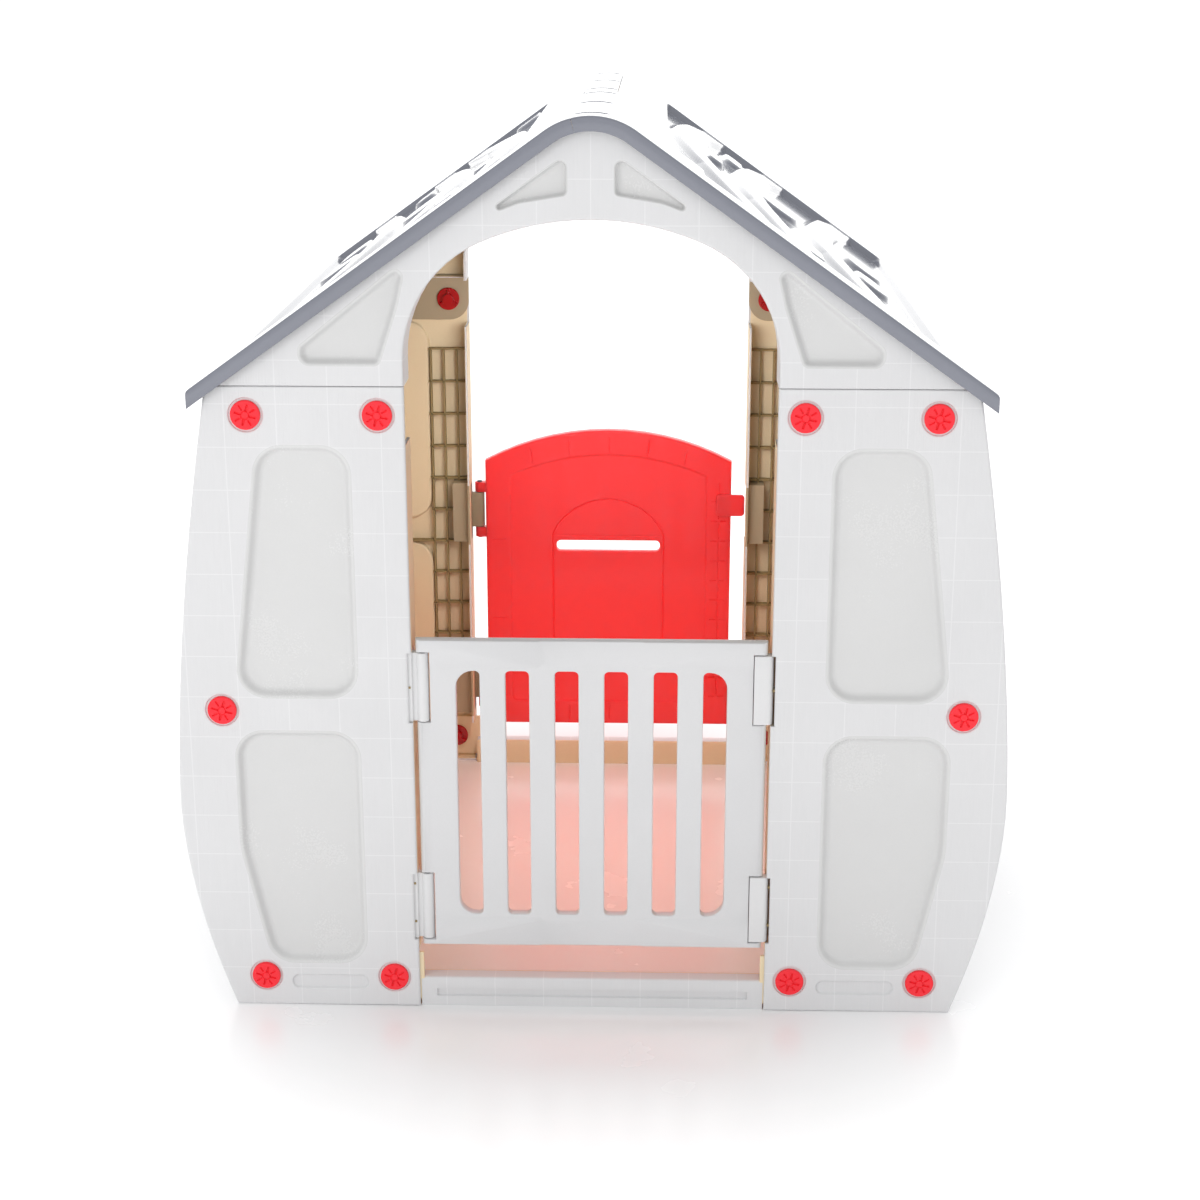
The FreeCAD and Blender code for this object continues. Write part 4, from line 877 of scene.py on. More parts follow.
def roof_depth(run, y):
    """How deep the surface lies under the plain roof, down the section and along the house."""
    near, far, half, radius = FIELD
    s = run - datum_run
    inside = rounded_gap(s, y, (near + far) / 2, 0.0, (far - near) / 2, half, radius)
    depth = 0.0
    if inside > 0:
        share = y / half
        raised = 0.0
        for line in WAVES:
            gap = WAVE_HALF - abs(s - wave_line(line, share))
            raised = max(raised, WAVE_TOP * eased((gap + 3.5) / 8.5))
        for middle, station, width, length in PADS:
            gap = rounded_gap(s, y, middle, station * half, width / 2, length / 2, width / 2 - 1)
            raised = max(raised, PAD_TOP * eased((gap + 2.5) / 7.0))
        depth = min(FIELD_DEPTH * eased(inside / 5.5), FIELD_DEPTH - raised)
    for middle in RIDGE_SLOTS:
        if abs(run) < 26 and abs(abs(y) - middle) < 10:
            gap = rounded_gap(run, abs(y), 0.0, middle, SLOT_RUN, SLOT_WIDE, 5.8)
            depth = max(depth, SLOT_DEEP * eased((gap + 0.3) / 2.2))
    return depth


def bend(run, depth, y):
    """Takes a point from the flat section to the rounded ridge and the right slope."""
    if run < tangent:
        angle = run / CROWN
        return ((CROWN - depth) * math.sin(angle), y, RIDGE - CROWN + (CROWN - depth) * math.cos(angle))
    down = run - tangent
    x = (CROWN - depth) * math.sin(SLOPE) + down * math.cos(SLOPE)
    z = RIDGE - CROWN + (CROWN - depth) * math.cos(SLOPE) - down * math.sin(SLOPE)
    return (x, y, z)


def lines_between(start, stop, step, extra):
    """Even grid lines, with closer ones where the surface turns."""
    count = int((stop - start) / step)
    lines = [start + (stop - start) * i / count for i in range(count + 1)]
    lines += [line for line in extra if start < line < stop]
    kept = []
    for line in sorted(lines):
        if kept and line - kept[-1] < 0.9:
            if line in extra:
                kept[-1] = line
            continue
        kept.append(line)
    kept[0], kept[-1] = start, stop
    return kept


def roof_lines(low_run, high_run, notch_run, notch_y):
    """The grid's lines down the section and along the house."""
    near, far, half, _ = FIELD
    rim_steps = (0.0, 1.2, 2.7, 4.2, 5.5)
    down = [datum_run + near + step for step in rim_steps] + [datum_run + far - step for step in rim_steps]
    down += [notch_run, -SLOT_RUN, 2 - SLOT_RUN, SLOT_RUN - 2, SLOT_RUN]
    along = [way * (half - step) for way in (1, -1) for step in rim_steps]
    slot_sides = [middle + side for middle in RIDGE_SLOTS for side in (-6, -4.5, 4.5, 6)]
    along += [way * side for way in (1, -1) for side in slot_sides] + [notch_y]
    end = ROOF_END - ROOF_MARGIN
    return lines_between(low_run, high_run, 2.8, down), lines_between(-end, end, 3.3, along)


def roof_top(mould, runs, shorts, notch_i, notch_j):
    """The worked upper face, less the corner that the other half laps, and the walk round its edge."""
    grid = {}
    for i, run in enumerate(runs):
        for j, y in enumerate(shorts):
            if i >= notch_i or j <= notch_j:
                grid[i, j] = mould.verts.new((run, roof_depth(run, y), y))
    for i in range(len(runs) - 1):
        for j in range(len(shorts) - 1):
            if i >= notch_i or j < notch_j:
                mould.faces.new((grid[i, j], grid[i + 1, j], grid[i + 1, j + 1], grid[i, j + 1]))
    last_i, last_j = len(runs) - 1, len(shorts) - 1
    walk = [(i, 0) for i in range(last_i)] + [(last_i, j) for j in range(last_j)]
    walk += [(i, last_j) for i in range(last_i, notch_i, -1)]
    walk += [(notch_i, j) for j in range(last_j, notch_j, -1)]
    walk += [(i, notch_j) for i in range(notch_i, 0, -1)] + [(0, j) for j in range(notch_j, 0, -1)]
    return walk, [grid[key] for key in walk]


def roof_edge(walk, runs, shorts, notch_i, notch_j):
    """Rows round the edge, from the upper face over the eased rim and under to the skin's back."""
    last_i, last_j = len(runs) - 1, len(shorts) - 1
    steps = [(0.75, 0.0), (0.35, 0.45), (0.1, 1.5), (0.0, 3.2), (0.0, 16.6), (0.12, ROOF_RIM)]
    steps += [(0.88, ROOF_RIM), (1.0, 16.6), (1.0, SKIN)]
    rows = []
    for share, depth in steps:
        row = []
        for i, j in walk:
            run, y = runs[i], shorts[j]
            out = ROOF_MARGIN * (1 - share)
            flanged = j in (0, last_j) or i == last_i
            deep = depth if flanged else min(depth, SKIN)
            if i == last_i:
                run += out + deep * math.tan(SLOPE)
            if j == 0:
                y -= out
            if j == last_j:
                y += out
            if i == 0 or (i == notch_i and j >= notch_j):
                run -= out * LAP_SHARE
            if j == notch_j and i <= notch_i:
                y += out * LAP_SHARE
            row.append((run, deep, y))
        rows.append(row)
    return rows


def sliced_underside(mould, lap_run):
    """Cuts the plain under faces along the ridge, so that they can be bent without creasing."""
    low_faces = [face for face in mould.faces if face.calc_center_median().y > SKIN - 0.5]
    under = [face for face in low_faces if face.calc_area() > 40]
    for i in range(-4, 9):
        faces = [face for face in under if face.is_valid]
        edges = list({edge for face in faces for edge in face.edges})
        geometry = edges + list({vert for edge in edges for vert in edge.verts}) + faces
        cut = bmesh.ops.bisect_plane(mould, geom=geometry, dist=1e-5, plane_co=(lap_run * i / 4, 0, 0),
                                     plane_no=(1, 0, 0))
        under = [item for item in cut["geom"] if isinstance(item, bmesh.types.BMFace)]


def roof_mould():
    """The right half laid flat: distance down the section, depth under the surface, along the house."""
    mould = bmesh.new()
    lap_run = CROWN * math.asin(LAP / CROWN)
    eave_run = tangent + (EAVE - CROWN * math.sin(SLOPE)) / math.cos(SLOPE)
    lap_margin = ROOF_MARGIN * LAP_SHARE
    notch_run, notch_y = lap_run + 0.3 + lap_margin, -0.15 - lap_margin
    runs, shorts = roof_lines(-lap_run + lap_margin, eave_run - ROOF_MARGIN, notch_run, notch_y)
    notch_i = min(range(len(runs)), key=lambda i: abs(runs[i] - notch_run))
    notch_j = min(range(len(shorts)), key=lambda j: abs(shorts[j] - notch_y))
    walk, top = roof_top(mould, runs, shorts, notch_i, notch_j)
    rows = roof_edge(walk, runs, shorts, notch_i, notch_j)
    first = courses(mould, rows[:1])[0]
    for k in range(len(top)):
        mould.faces.new((top[k - 1], top[k], first[k], first[k - 1]))
    side = courses(mould, rows)
    near, far, half, _ = FIELD
    corners = [(datum_run + near, -half, 12), (datum_run + far, -half, 12),
               (datum_run + far, half, 12), (datum_run + near, half, 12)]
    underside = ((-8.0, SKIN), (-6.5, SKIN), (-4.6, 5.0), (-4.0, 7.0), (-4.0, 13.0), (-3.2, 14.0),
                 (0.0, 14.0))
    floor = relief(mould, corners, underside)
    cover(mould, [side[-1], floor[0]])
    sliced_underside(mould, lap_run)
    return mould


roof = roof_mould()
for hand, way in (("right", 1), ("left", -1)):
    def spot(run, depth, y, way=way):
        x, y, z = bend(run, depth, y)
        return (way * x, way * y, z)
    piece = cast(roof.copy(), "roof_" + hand + "_half_moulding", spot, (roof_slate,), sharp=70)
    hand_over(piece, "house", "roof_plastic", "roof_" + hand + "_half")
roof.free()

# ---- Slatted gate ------------------------------------------------------------------------------
# The front gate is one thick moulding with half-round long edges. The ends of its two rails stand
# a little proud of the rest, and notches in its sides clear the hinge blocks and take the catches.

GATE_FACE = 434.0
GATE_HALF = 213.5
GATE_T = 16.0
GATE_FOOT, GATE_TOP = 85.0, 491.0
SLOT_FOOT, SLOT_HEAD = 128.0, 451.0
NOTCH = 197.0
PAD_FROM = 62.0
PAD_RISE = 1.8
gate_smooth = plastic("gate_smooth", (0.645, 0.645, 0.653), 0.34, 0.14, PEBBLED, coat=0.1)


def gate_mould():
    """The gate, drawn with its depth measured back from the face."""
    mould = bmesh.new()
    right = [(GATE_HALF, GATE_FOOT, 0)]
    for foot, head in POCKETS:
        right += [(GATE_HALF, foot, 0), (NOTCH, foot, 0), (NOTCH, head, 0), (GATE_HALF, head, 0)]
    right.append((GATE_HALF, GATE_TOP, 0))
    corners = right + flip(right)
    notch_share, rail_share = 0.15, 0.3
    side_shares = [1.0, notch_share, notch_share, notch_share] * len(POCKETS) + [1.0]
    shares = side_shares + [rail_share] + side_shares[::-1] + [rail_share]
    half_t = GATE_T / 2
    profile = []
    for i in range(13):
        turn = math.pi * i / 12
        profile.append((half_t * (1 - math.sin(turn)), half_t * (1 - math.cos(turn))))
    rim = relief(mould, corners, profile, capped=False, shares=shares)
    clear = 165.0
    width = 29.0
    pitch = (2 * clear - width) / 5
    through = ((-2.6, 0.0), (-1.8, 0.0), (-0.7, 0.4), (-0.15, 1.2), (0.0, 2.2), (0.0, 13.8),
               (-0.15, 14.8), (-0.7, 15.6), (-1.8, 16.0), (-2.6, 16.0))
    face, back = [rim[0]], [rim[-1]]
    for i in range(6):
        x = -clear + i * pitch
        left_r = 21.0 if i == 0 else 6.0
        right_r = 21.0 if i == 5 else 6.0
        slot = [(x, SLOT_FOOT, left_r), (x + width, SLOT_FOOT, right_r),
                (x + width, SLOT_HEAD, right_r), (x, SLOT_HEAD, left_r)]
        opening = relief(mould, slot, through, capped=False)
        face.append(opening[0])
        back.append(opening[-1])
    cover(mould, face)
    cover(mould, back)
    low_pad, high_pad = SLOT_FOOT - 4.5, SLOT_HEAD + 4.5
    slice_levels(mould, [low_pad - 2.6, low_pad, high_pad, high_pad + 2.6], Vector((0, 0, 1)))
    slice_levels(mould, [-PAD_FROM - 2.6, -PAD_FROM, PAD_FROM, PAD_FROM + 2.6], Vector((1, 0, 0)))
    for vert in mould.verts:
        across, up = abs(vert.co.x), vert.co.z
        on_pad = across > PAD_FROM + 1 and not low_pad - 1 < up < high_pad + 1
        if vert.co.y < half_t and not on_pad:
            vert.co.y += PAD_RISE * (1 - vert.co.y / half_t)
    return mould


gate = cast(gate_mould(), "front_gate_moulding", turned_about(1, GATE_FACE), (gate_smooth,))
hand_over(gate, "gate", "wall_plastic", "front_gate")

# ---- Hinge blocks, catches and pins ---------------------------------------------------------------
# A moulded block fills each left-hand jamb pocket and its nose holds a plain pin that the gate or
# the door turns on. On the gate's free edge, rounded tabs rest in the other jamb's pocket mouths.

KNUCKLE = 7.5
PIN = 4.0
GATE_PIN = (-205.5, -426.0)
DOOR_PIN = (-206.0, 427.0)
BLOCK_FAR = DOORWAY + 25.7
block_grey = plastic("block_grey", (0.70, 0.70, 0.705), 0.4, 0.15, PEBBLED)
# Painted shade: the door's hinge blocks are coloured brown-grey for the shade they stand in.
block_painted_shade = plastic("block_painted_shade", (0.30, 0.235, 0.15), 0.5, 0.2, PEBBLED)
pin_dark = plastic("pin_dark", (0.09, 0.09, 0.10), 0.35, 0.1, PEBBLED)


def nose(middle, radius, start, stop, steps=16):
    """Points of an arc, from one angle in degrees to another."""
    points = []
    for i in range(steps + 1):
        angle = math.radians(start + (stop - start) * i / steps)
        points.append((middle[0] + radius * math.cos(angle), middle[1] + radius * math.sin(angle), 0))
    return points


def bored_plate(mould, corners, bore, low, high, ease=0.7):
    """An upright slab with a round hole down it, drawn in plan."""
    rings = relief(mould, corners, slab_edge(low, high, ease), capped=False)
    bored = [(PIN + 0.5, low), (PIN + 0.1, low + 0.4), (PIN + 0.1, high - 0.4), (PIN + 0.5, high)]
    hole = turned_ring(mould, *bore, bored, segments=24)
    cover(mould, [rings[0], hole[0]])
    cover(mould, [rings[-1], hole[-1]])


def hinge_block(mould, pin, foot, head, low, high):
    """The root in the pocket and the nose round the pin, for a block at the front."""
    root = [(-BLOCK_FAR, -WALL_FACE + 4.3, 1), (-DOORWAY, -WALL_FACE + 4.3, 1),
            (-DOORWAY, -404.3, 1), (-BLOCK_FAR, -404.3, 1)]
    plate(mould, root, foot + 0.3, head - 0.3)
    offset = KNUCKLE / 3
    start = 180 + math.degrees(math.asin(offset / KNUCKLE))
    arm = [(-DOORWAY - 3.0, pin[1] - offset, 0)] + nose(pin, KNUCKLE, start, 450)
    arm += [(-DOORWAY - 3.0, pin[1] + KNUCKLE, 0)]
    bored_plate(mould, arm, pin, low, high)


def upright_rear(u, depth, v):
    """Stands up a drawing made in plan for the front, mirrored to the rear."""
    return (u, -v, depth)


blocks = bmesh.new()
rear_blocks = bmesh.new()
tabs = bmesh.new()
gate_pins = bmesh.new()
door_pins = bmesh.new()
for foot, head in POCKETS:
    hinge_block(blocks, GATE_PIN, foot, head, foot + 1.0, head - 1.0)
    hinge_block(rear_blocks, (DOOR_PIN[0], -DOOR_PIN[1]), foot, head, foot + 17.0, head - 17.0)
    tip = (DOORWAY + 3.0 - KNUCKLE, GATE_PIN[1])
    tab = [(NOTCH + 0.3, GATE_PIN[1] - KNUCKLE, 0)] + nose(tip, KNUCKLE, -90, 90)
    tab.append((NOTCH + 0.3, GATE_PIN[1] + KNUCKLE, 0))
    plate(tabs, tab, foot + 1.0, head - 1.0)
    gate_low, gate_high = max(foot - 14.0, GATE_FOOT + 3.0), min(head + 14.0, GATE_TOP - 3.0)
    rods = ((gate_pins, GATE_PIN, gate_low, gate_high), (door_pins, DOOR_PIN, foot - 2.0, head + 2.0))
    for mould, middle, low, high in rods:
        lower_end = [(0.6, low), (3.0, low), (3.6, low + 0.4), (PIN, low + 1.2)]
        upper_end = [(PIN, high - 1.2), (3.6, high - 0.4), (3.0, high), (0.6, high)]
        rings = turned_ring(mould, *middle, lower_end + upper_end, segments=24)
        cover(mould, rings[:1])
        cover(mould, rings[-1:])
gate_blocks = cast(blocks, "gate_hinge_block_mouldings", upright, (block_grey,))
door_blocks = cast(rear_blocks, "door_hinge_block_mouldings", upright_rear, (block_painted_shade,))
catch_tabs = cast(tabs, "gate_catch_tab_mouldings", upright, (block_grey,))
gate_rods = cast(gate_pins, "gate_hinge_rods", upright, (pin_dark,))
door_rods = cast(door_pins, "door_hinge_rods", upright, (pin_dark,))
hand_over(gate_blocks, "house", "wall_plastic", "gate_hinge_blocks")
hand_over(door_blocks, "house", "wall_plastic", "door_hinge_blocks")
hand_over(catch_tabs, "gate", "wall_plastic", "gate_catch_tabs")
hand_over(gate_rods, "gate", "pin_plastic", "gate_hinge_pins")
hand_over(door_rods, "door", "pin_plastic", "door_hinge_pins")

# ---- Tall rear door --------------------------------------------------------------------------------
# A red arched moulding with a border scored into bricks, a sunk field on both faces, a letter slot
# and the outline of a mailbox. Its eyes clasp the hinge blocks and a tab on its free edge is the pull.

DOOR_HALF = 196.0
DOOR_INNER = 414.0
DOOR_T = 20.0
DOOR_FOOT, DOOR_SHOULDER, DOOR_APEX = 68.0, 511.0, 561.0
BORDER = 38.0
door_red = plastic("door_red", (0.97, 0.045, 0.055), 0.3, 0.10, PEBBLED, shade=0.05, coat=0.2)
door_shader = door_red.node_tree.nodes["Principled BSDF"]
door_shader.inputs["Subsurface Weight"].default_value = 0.7
door_shader.inputs["Subsurface Radius"].default_value = (1.0, 0.12, 0.12)
door_shader.inputs["Subsurface Scale"].default_value = 0.015


def arched(half, foot, shoulder, apex, r=0.0, steps=14):
    """An upright oblong with an arched head, as corners."""
    rise = apex - shoulder
    radius = (half ** 2 + rise ** 2) / (2 * rise)
    middle = apex - radius
    sweep = math.asin(half / radius)
    corners = [(-half, foot, r), (half, foot, r)]
    for i in range(steps + 1):
        angle = sweep * (1 - 2 * i / steps)
        corners.append((radius * math.sin(angle), middle + radius * math.cos(angle), 0))
    return corners


def groove(a, b, half=1.2):
    """A straight scored line between two points, as a thin outline."""
    start, stop = Vector(a), Vector(b)
    along = (stop - start).normalized()
    side = Vector((-along.y, along.x)) * half
    corners = (start - side, stop - side, stop + side, start + side)
    return [(corner.x, corner.y, half * 0.9) for corner in corners]


def brick_lines():
    """The scored joints of the border: spokes over the arch, courses down the sides and the foot."""
    lines = []
    field_head = DOOR_APEX - BORDER
    for x in (-124.0, -63.0, 2.0, 65.0, 125.0):
        drop = 50.0 * (x / DOOR_HALF) ** 2
        lines.append(((x * 0.97, field_head - drop + 4.0), (x, DOOR_APEX - drop - 9.0)))
        lines.append(((x, DOOR_FOOT + 8.0), (x, DOOR_FOOT + 33.0)))
    for i in range(11):
        z = 118.0 + 33.0 * i
        lines.append(((163.0, z), (174.5, z)))
        lines.append(((179.0, z), (189.0, z)))
        lines.append(((176.8, z + 3.0), (176.8, z + 30.0)))
    for z in (118.0, 250.0, 382.0):
        lines.append(((-187.0, z), (-163.0, z)))
    return [groove(a, b) for a, b in lines]


def door_mould():
    """The door, drawn with its depth measured out from the inner face."""
    mould = bmesh.new()
    leaf = arched(DOOR_HALF, DOOR_FOOT, DOOR_SHOULDER, DOOR_APEX)
    edge = [(5.0, 0.0), (3.5, 0.0), (1.6, 0.5), (0.5, 1.6), (0.0, 3.6)]
    edge += [(inset, DOOR_T - depth) for inset, depth in reversed(edge)]
    rim = relief(mould, leaf, edge, capped=False)
    field_shoulder = DOOR_SHOULDER - 0.6 * BORDER
    field = arched(DOOR_HALF - BORDER, DOOR_FOOT + BORDER, field_shoulder, DOOR_APEX - BORDER, 10.0)
    box = arched(90.0, 200.0, 392.0, 450.0, 18.0)
    slot = [(-83.0, 362.0, 7), (83.0, 362.0, 7), (83.0, 380.0, 7), (-83.0, 380.0, 7)]
    bar = [(-84.0, 387.0, 1.0), (84.0, 387.0, 1.0), (84.0, 389.6, 1.0), (-84.0, 389.6, 1.0)]
    sink = [(-1.5, 0.0), (0.0, 0.0), (0.8, 0.4), (1.6, 1.6), (2.4, 2.7), (3.4, 3.0), (5.0, 3.0)]
    channel = [(-1.0, 3.0), (0.0, 3.0), (0.6, 4.3), (1.4, 4.7), (2.2, 4.3), (2.8, 3.0), (4.0, 3.0)]
    scored = [(-0.8, 0.0), (0.0, 0.0), (0.25, 0.9), (0.7, 1.4)]
    letter = [(-3.0, 3.0), (-2.0, 3.0), (-0.8, 3.4), (0.0, 4.6), (0.0, 10.0)]
    halves = []
    for near in (True, False):
        side = lambda steps, near=near: [(inset, depth if near else DOOR_T - depth) for inset, depth in steps]
        face = [rim[0] if near else rim[-1]]
        well = relief(mould, field, side(sink), capped=False)
        face.append(well[0])
        box_rings = relief(mould, box, side(channel), capped=False)
        opening = relief(mould, slot, side(letter), capped=False)
        halves.append(opening[-1])
        moulded_line = relief(mould, bar, side([(-1.0, 3.0), (0.0, 3.0), (0.5, 3.8), (1.0, 3.9)]))
        for line in brick_lines():
            face.append(relief(mould, line, side(scored), steps=2)[0])
        cover(mould, face)
        cover(mould, [well[-1], box_rings[0]])
        cover(mould, [box_rings[-1], opening[0], moulded_line[0]])
    inner, outer = halves
    for k in range(len(inner)):
        mould.faces.new((inner[k - 1], inner[k], outer[k], outer[k - 1]))
    return mould


door = door_mould()
eyes = bmesh.new()
for foot, head in POCKETS:
    for low, high in ((foot, foot + 16.0), (head - 16.0, head)):
        near = -DOOR_HALF + 4.0
        eye = [(near, DOOR_PIN[1] + 7.0, 0)] + nose(DOOR_PIN, KNUCKLE, 90, 270)
        eye.append((near, DOOR_PIN[1] - KNUCKLE, 0))
        bored_plate(eyes, eye, DOOR_PIN, low, high)
door_piece = cast(door, "rear_door_moulding", lambda u, depth, v: (u, DOOR_INNER + depth, v), (door_red,))
hand_over(door_piece, "door", "red_plastic", "rear_door")
hand_over(cast(eyes, "rear_door_eyes", upright, (door_red,)), "door", "red_plastic")

latch = bmesh.new()
tab = [(172.0, 424.0, 6), (217.0, 424.0, 6), (217.0, 459.0, 6), (172.0, 459.0, 6)]
plate(latch, tab, DOOR_INNER - 6.0, DOOR_INNER, ease=1.5)
latch_piece = cast(latch, "door_latch_moulding", as_drawn, (door_red,))
hand_over(latch_piece, "door", "red_plastic", "door_latch_tab")

# ---- Screws and winged nuts ----------------------------------------------------------------------------
# Broad red plastic screws are turned by hand from outside, each into a round nut with three wings
# behind the clamped tongue. A four-armed grip is sunk in the head, with short cuts between the arms.

HEAD_R = 17.75
HEAD_T = 4.5
SHANK = 6.0
NUT_R = 17.5
screw_red = plastic("screw_red", (0.93, 0.028, 0.042), 0.3, 0.08, PEBBLED, coat=0.05)
screw_red.node_tree.nodes["Principled BSDF"].inputs["IOR"].default_value = 1.35
nut_red = plastic("nut_red", (0.42, 0.0, 0.003), 0.22, 0.08, PEBBLED, coat=0.4)


def arm_gap(x, z, half, start, reach):
    """How far a point lies inside the nearest of three arms from the middle."""
    best = -99.0
    for i in range(3):
        angle = math.radians(90 + 120 * i)
        along = x * math.cos(angle) + z * math.sin(angle)
        across = abs(z * math.cos(angle) - x * math.sin(angle))
        best = max(best, min(half - across, reach - along, along - start))
    return best


def spoke_cut(radius, angle, near, far, half, taper=0.0):
    """From 0 to 1: how far a point is into one of four radial cuts with eased sides and ends."""
    across = abs(math.remainder(angle, math.radians(90))) * radius
    return eased((half - taper * radius - across) / 0.7) * eased(min(radius - near, far - radius) / 0.9)


def head_depth(radius, angle):
    """The screw's face: an eased rim, a round middle, four tapering arms and four short cuts."""
    turned = angle - math.radians(75)
    depth = 2.7 * spoke_cut(radius, turned, 4.0, 13.2, 2.1, taper=0.07)
    depth = max(depth, 2.0 * spoke_cut(radius, turned - math.radians(45), 6.4, 14.2, 1.15))
    depth = max(depth, 1.0 * eased((0.7 - abs(radius - 4.75)) / 0.4))
    over = radius - (HEAD_R - 1.5)
    if over > 0:
        depth = max(depth, 1.5 - math.sqrt(max(1.5 ** 2 - over ** 2, 0.0)))
    return depth


def nut_height(radius, angle):
    """The nut's back: a flange, three wings and a closed boss."""
    x, z = radius * math.cos(angle), radius * math.sin(angle)
    wing = 9.0 * eased(arm_gap(x, z, 2.2, 0.0, 16.5) / 0.8)
    boss = 13.0 * eased((8.9 - radius) / 0.8)
    flange = 4.0 - 1.2 * eased((radius - 16.3) / 1.2)
    return max(wing, boss, flange)


def polar_mould(radii, face_depth, rest, segments=96):
    """A round part: its worked face by rings, then the plain rings that close it."""
    mould = bmesh.new()
    angles = [2 * math.pi * i / segments for i in range(segments)]
    rows = []
    for radius in radii:
        rows.append([(radius * math.cos(a), face_depth(radius, a), radius * math.sin(a)) for a in angles])
    for radius, depth in rest:
        rows.append([(radius * math.cos(a), depth, radius * math.sin(a)) for a in angles])
    rings = courses(mould, rows)
    cover(mould, rings[:1])
    cover(mould, rings[-1:])
    return mould


head_radii = [0.5, 2.5, 3.9, 4.3, 4.7, 5.1] + [5.6 + 0.6 * i for i in range(18)]
head_radii += [16.3, 16.7, 17.15, 17.5, 17.7, HEAD_R]
screw_rest = [(HEAD_R, HEAD_T - 0.3), (HEAD_R - 0.3, HEAD_T), (SHANK, HEAD_T), (SHANK, HEAD_T + 15.0)]
screw_rest += [(SHANK - 1.2, HEAD_T + 16.0), (1.0, HEAD_T + 16.0)]
nut_radii = [0.5, 2.5, 4.5, 6.5, 7.6, 8.1, 8.5, 8.9, 9.3] + [10.2 + 0.9 * i for i in range(7)]
nut_radii += [16.3, 16.8, 17.2, NUT_R]
nut_rest = [(NUT_R, 0.4), (NUT_R - 0.4, 0.0), (SHANK + 0.1, 0.0), (SHANK + 0.1, 11.0), (1.0, 11.0)]
screw_form = polar_mould(head_radii, head_depth, screw_rest, segments=128)
screw = cast(screw_form, "screw_pattern", as_drawn, (screw_red,))
nut_form = polar_mould(nut_radii, nut_height, nut_rest)
nut = cast(nut_form, "nut_pattern", as_drawn, (nut_red,))
fixing_tree = instancing_tree("fixings", fixing=True)
for end, way in (("front", 1), ("rear", -1)):
    head_y = way * -(WALL_FACE + 2.5)
    nut_y = way * -(WALL_FACE - 8.6)
    for kind, pattern, y, finish in (("screws", screw, head_y, screw_red), ("nuts", nut, nut_y, nut_red)):
        points = [(side * x, y, z) for side in (1, -1) for x, z in screw_places()]
        values = {"Fixing": pattern, "Turn": 0.0 if way > 0 else math.pi, "Finish": finish}
        piece = grown_copies(end + "_wall_" + kind + "_set", fixing_tree, points, values)
        hand_over(piece, "house", "red_plastic", end + "_wall_" + kind)
for pattern in (screw, nut):
    bpy.data.objects.remove(pattern)

# ---- Floor, light and camera ---------------------------------------------------------------------------
# The house stands on a pale, slightly glossy floor that glows with painted light away from it. The sky is
# bright before and behind it and dimmer at its sides, and soft lamps stand in front, overhead and in the
# cabin.

floor_mould = bmesh.new()
floor_corners = [(-9000.0, -7000.0, 0), (9000.0, -7000.0, 0), (9000.0, 12000.0, 0), (-9000.0, 12000.0, 0)]
plate(floor_mould, floor_corners, -20.0, -0.2, ease=0.1)
floor_white = plastic("floor_white", (0.92, 0.92, 0.925), 0.22, 0.0, (3.0, 3.0, 3.0), shade=0.01)
floor_shader = floor_white.node_tree.nodes["Principled BSDF"]
floor_shader.inputs["IOR"].default_value = 1.7
floor_shader.inputs["Emission Color"].default_value = (1.0, 1.0, 1.0, 1.0)
floor_nodes = floor_white.node_tree.nodes
floor_links = floor_white.node_tree.links
floor_place = floor_nodes.new("ShaderNodeTexCoord")
from_house = floor_nodes.new("ShaderNodeVectorMath")
from_house.operation = "LENGTH"
# Painted light: the floor emits a glow of its own, none within 0.5 m of the house and rising to full 0.95 m
# away.
floor_painted_glow = floor_nodes.new("ShaderNodeMapRange")
floor_painted_glow.inputs["From Min"].default_value = 0.5
floor_painted_glow.inputs["From Max"].default_value = 0.95
floor_painted_glow.inputs["To Max"].default_value = 0.4
floor_links.new(floor_place.outputs["Object"], from_house.inputs[0])
floor_links.new(from_house.outputs["Value"], floor_painted_glow.inputs["Value"])
floor_links.new(floor_painted_glow.outputs["Result"], floor_shader.inputs["Emission Strength"])
floor = cast(floor_mould, "studio_floor", upright, (floor_white,))

scene = bpy.context.scene
world = bpy.data.worlds.new("studio")
scene.world = world
world.use_nodes = True
sky_nodes = world.node_tree.nodes
sky_links = world.node_tree.links
sky = sky_nodes["Background"]
sky.inputs["Color"].default_value = (1.0, 1.0, 1.0, 1.0)
ways = sky_nodes.new("ShaderNodeTexCoord")
split = sky_nodes.new("ShaderNodeSeparateXYZ")
fore_and_aft = sky_nodes.new("ShaderNodeMath")
fore_and_aft.operation = "ABSOLUTE"
glow = sky_nodes.new("ShaderNodeMapRange")
glow.inputs["From Min"].default_value = 0.15
glow.inputs["From Max"].default_value = 0.95
glow.inputs["To Min"].default_value = 0.62
glow.inputs["To Max"].default_value = 1.05
behind = sky_nodes.new("ShaderNodeMapRange")
behind.inputs["To Max"].default_value = 0.5
both_glows = sky_nodes.new("ShaderNodeMath")
seen = sky_nodes.new("ShaderNodeLightPath")
backdrop = sky_nodes.new("ShaderNodeMix")
backdrop.inputs[3].default_value = 1.1
sky_links.new(ways.outputs["Generated"], split.inputs["Vector"])
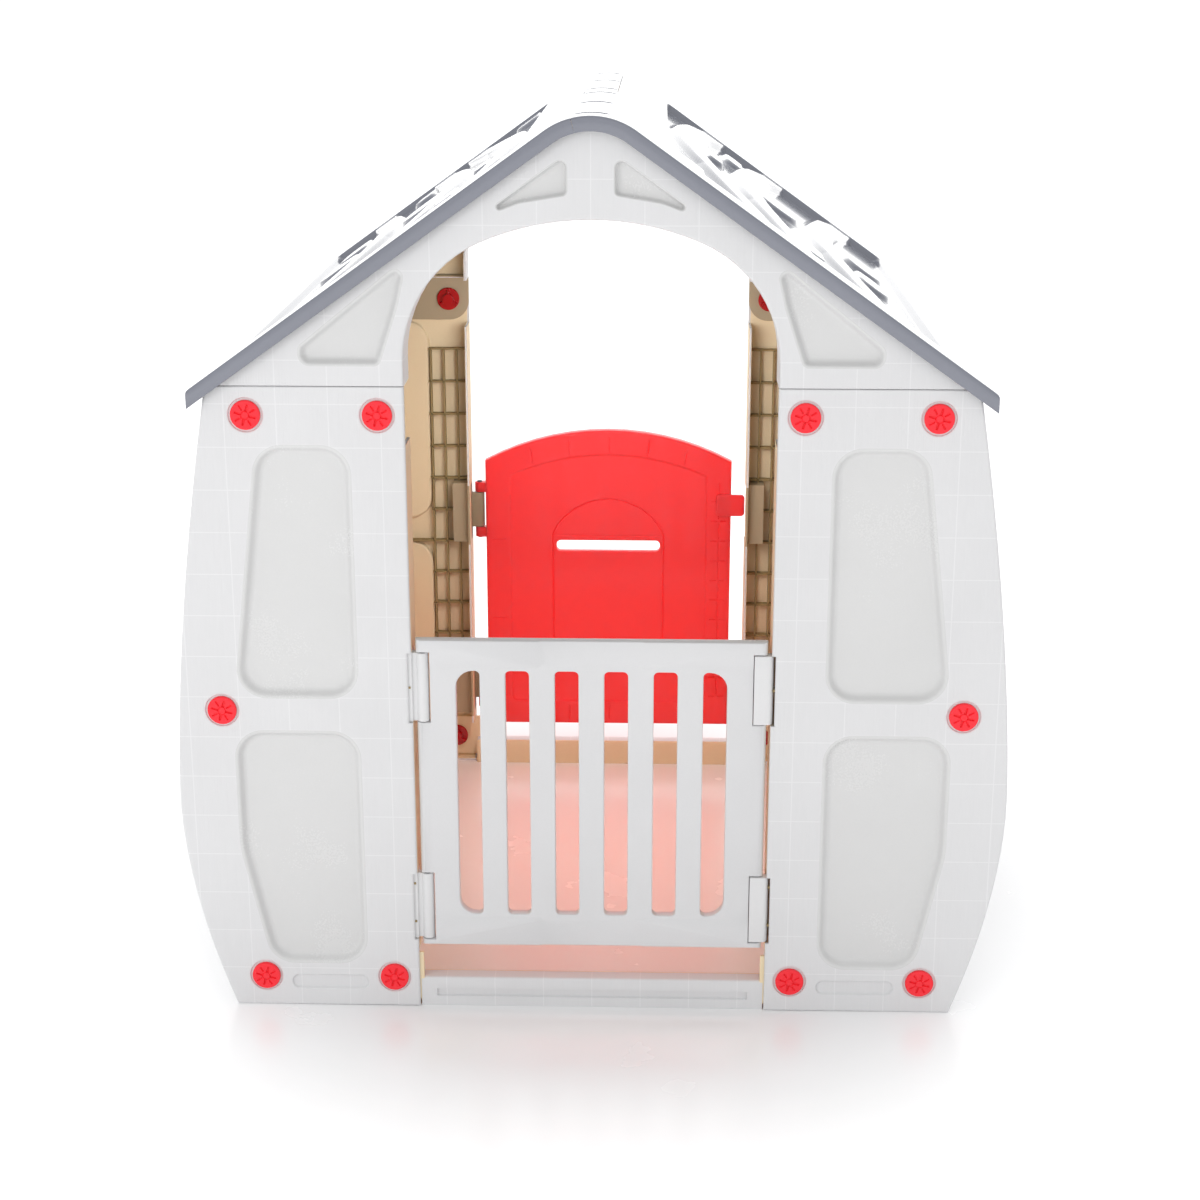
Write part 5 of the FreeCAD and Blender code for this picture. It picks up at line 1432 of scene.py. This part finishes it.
sky_links.new(split.outputs["Y"], fore_and_aft.inputs[0])
sky_links.new(fore_and_aft.outputs[0], glow.inputs["Value"])
sky_links.new(split.outputs["Y"], behind.inputs["Value"])
sky_links.new(glow.outputs["Result"], both_glows.inputs[0])
sky_links.new(behind.outputs["Result"], both_glows.inputs[1])
sky_links.new(both_glows.outputs[0], backdrop.inputs[2])
sky_links.new(seen.outputs["Is Camera Ray"], backdrop.inputs[0])
sky_links.new(backdrop.outputs[0], sky.inputs["Strength"])
scene.view_settings.view_transform = "Standard"


def soft_lamp(name, place, aim, size, power, colour=(1.0, 1.0, 1.0)):
    """A square lamp that lights the house and is not itself seen."""
    lamp = bpy.data.lights.new(name, "AREA")
    lamp.shape = "SQUARE"
    lamp.size = size
    lamp.energy = power
    lamp.color = colour
    holder = bpy.data.objects.new(name, lamp)
    holder.location = place
    holder.rotation_euler = (Vector(aim) - Vector(place)).to_track_quat("-Z", "Y").to_euler()
    holder.visible_camera = False
    holder.visible_glossy = False
    scene.collection.objects.link(holder)


soft_lamp("front_lamp", (-2.4, -3.2, 1.1), (0.0, 0.0, 0.4), 1.4, 20.0)
soft_lamp("top_lamp", (0.0, 0.6, 4.0), (0.0, 0.0, 0.6), 3.2, 30.0)
soft_lamp("cabin_lamp", (0.0, -0.04, 0.78), (0.0, 0.42, 0.4), 0.3, 2.1)
soft_lamp("floor_bounce_lamp", (0.0, 0.0, 0.36), (0.0, 0.001, 0.0), 0.55, 0.8, (1.0, 0.24, 0.13))

lens = bpy.data.cameras.new("camera")
lens.lens = 63.17
lens.sensor_width = 36.0
camera = bpy.data.objects.new("camera", lens)
scene.collection.objects.link(camera)
yaw, pitch = 0.0279, 0.2998
ahead = Vector((-math.sin(yaw) * math.cos(pitch), math.cos(yaw) * math.cos(pitch), -math.sin(pitch)))
camera.location = (0.0778, -2.8414, 1.2877)
camera.rotation_mode = "QUATERNION"
camera.rotation_quaternion = ahead.to_track_quat("-Z", "Y")
scene.camera = camera
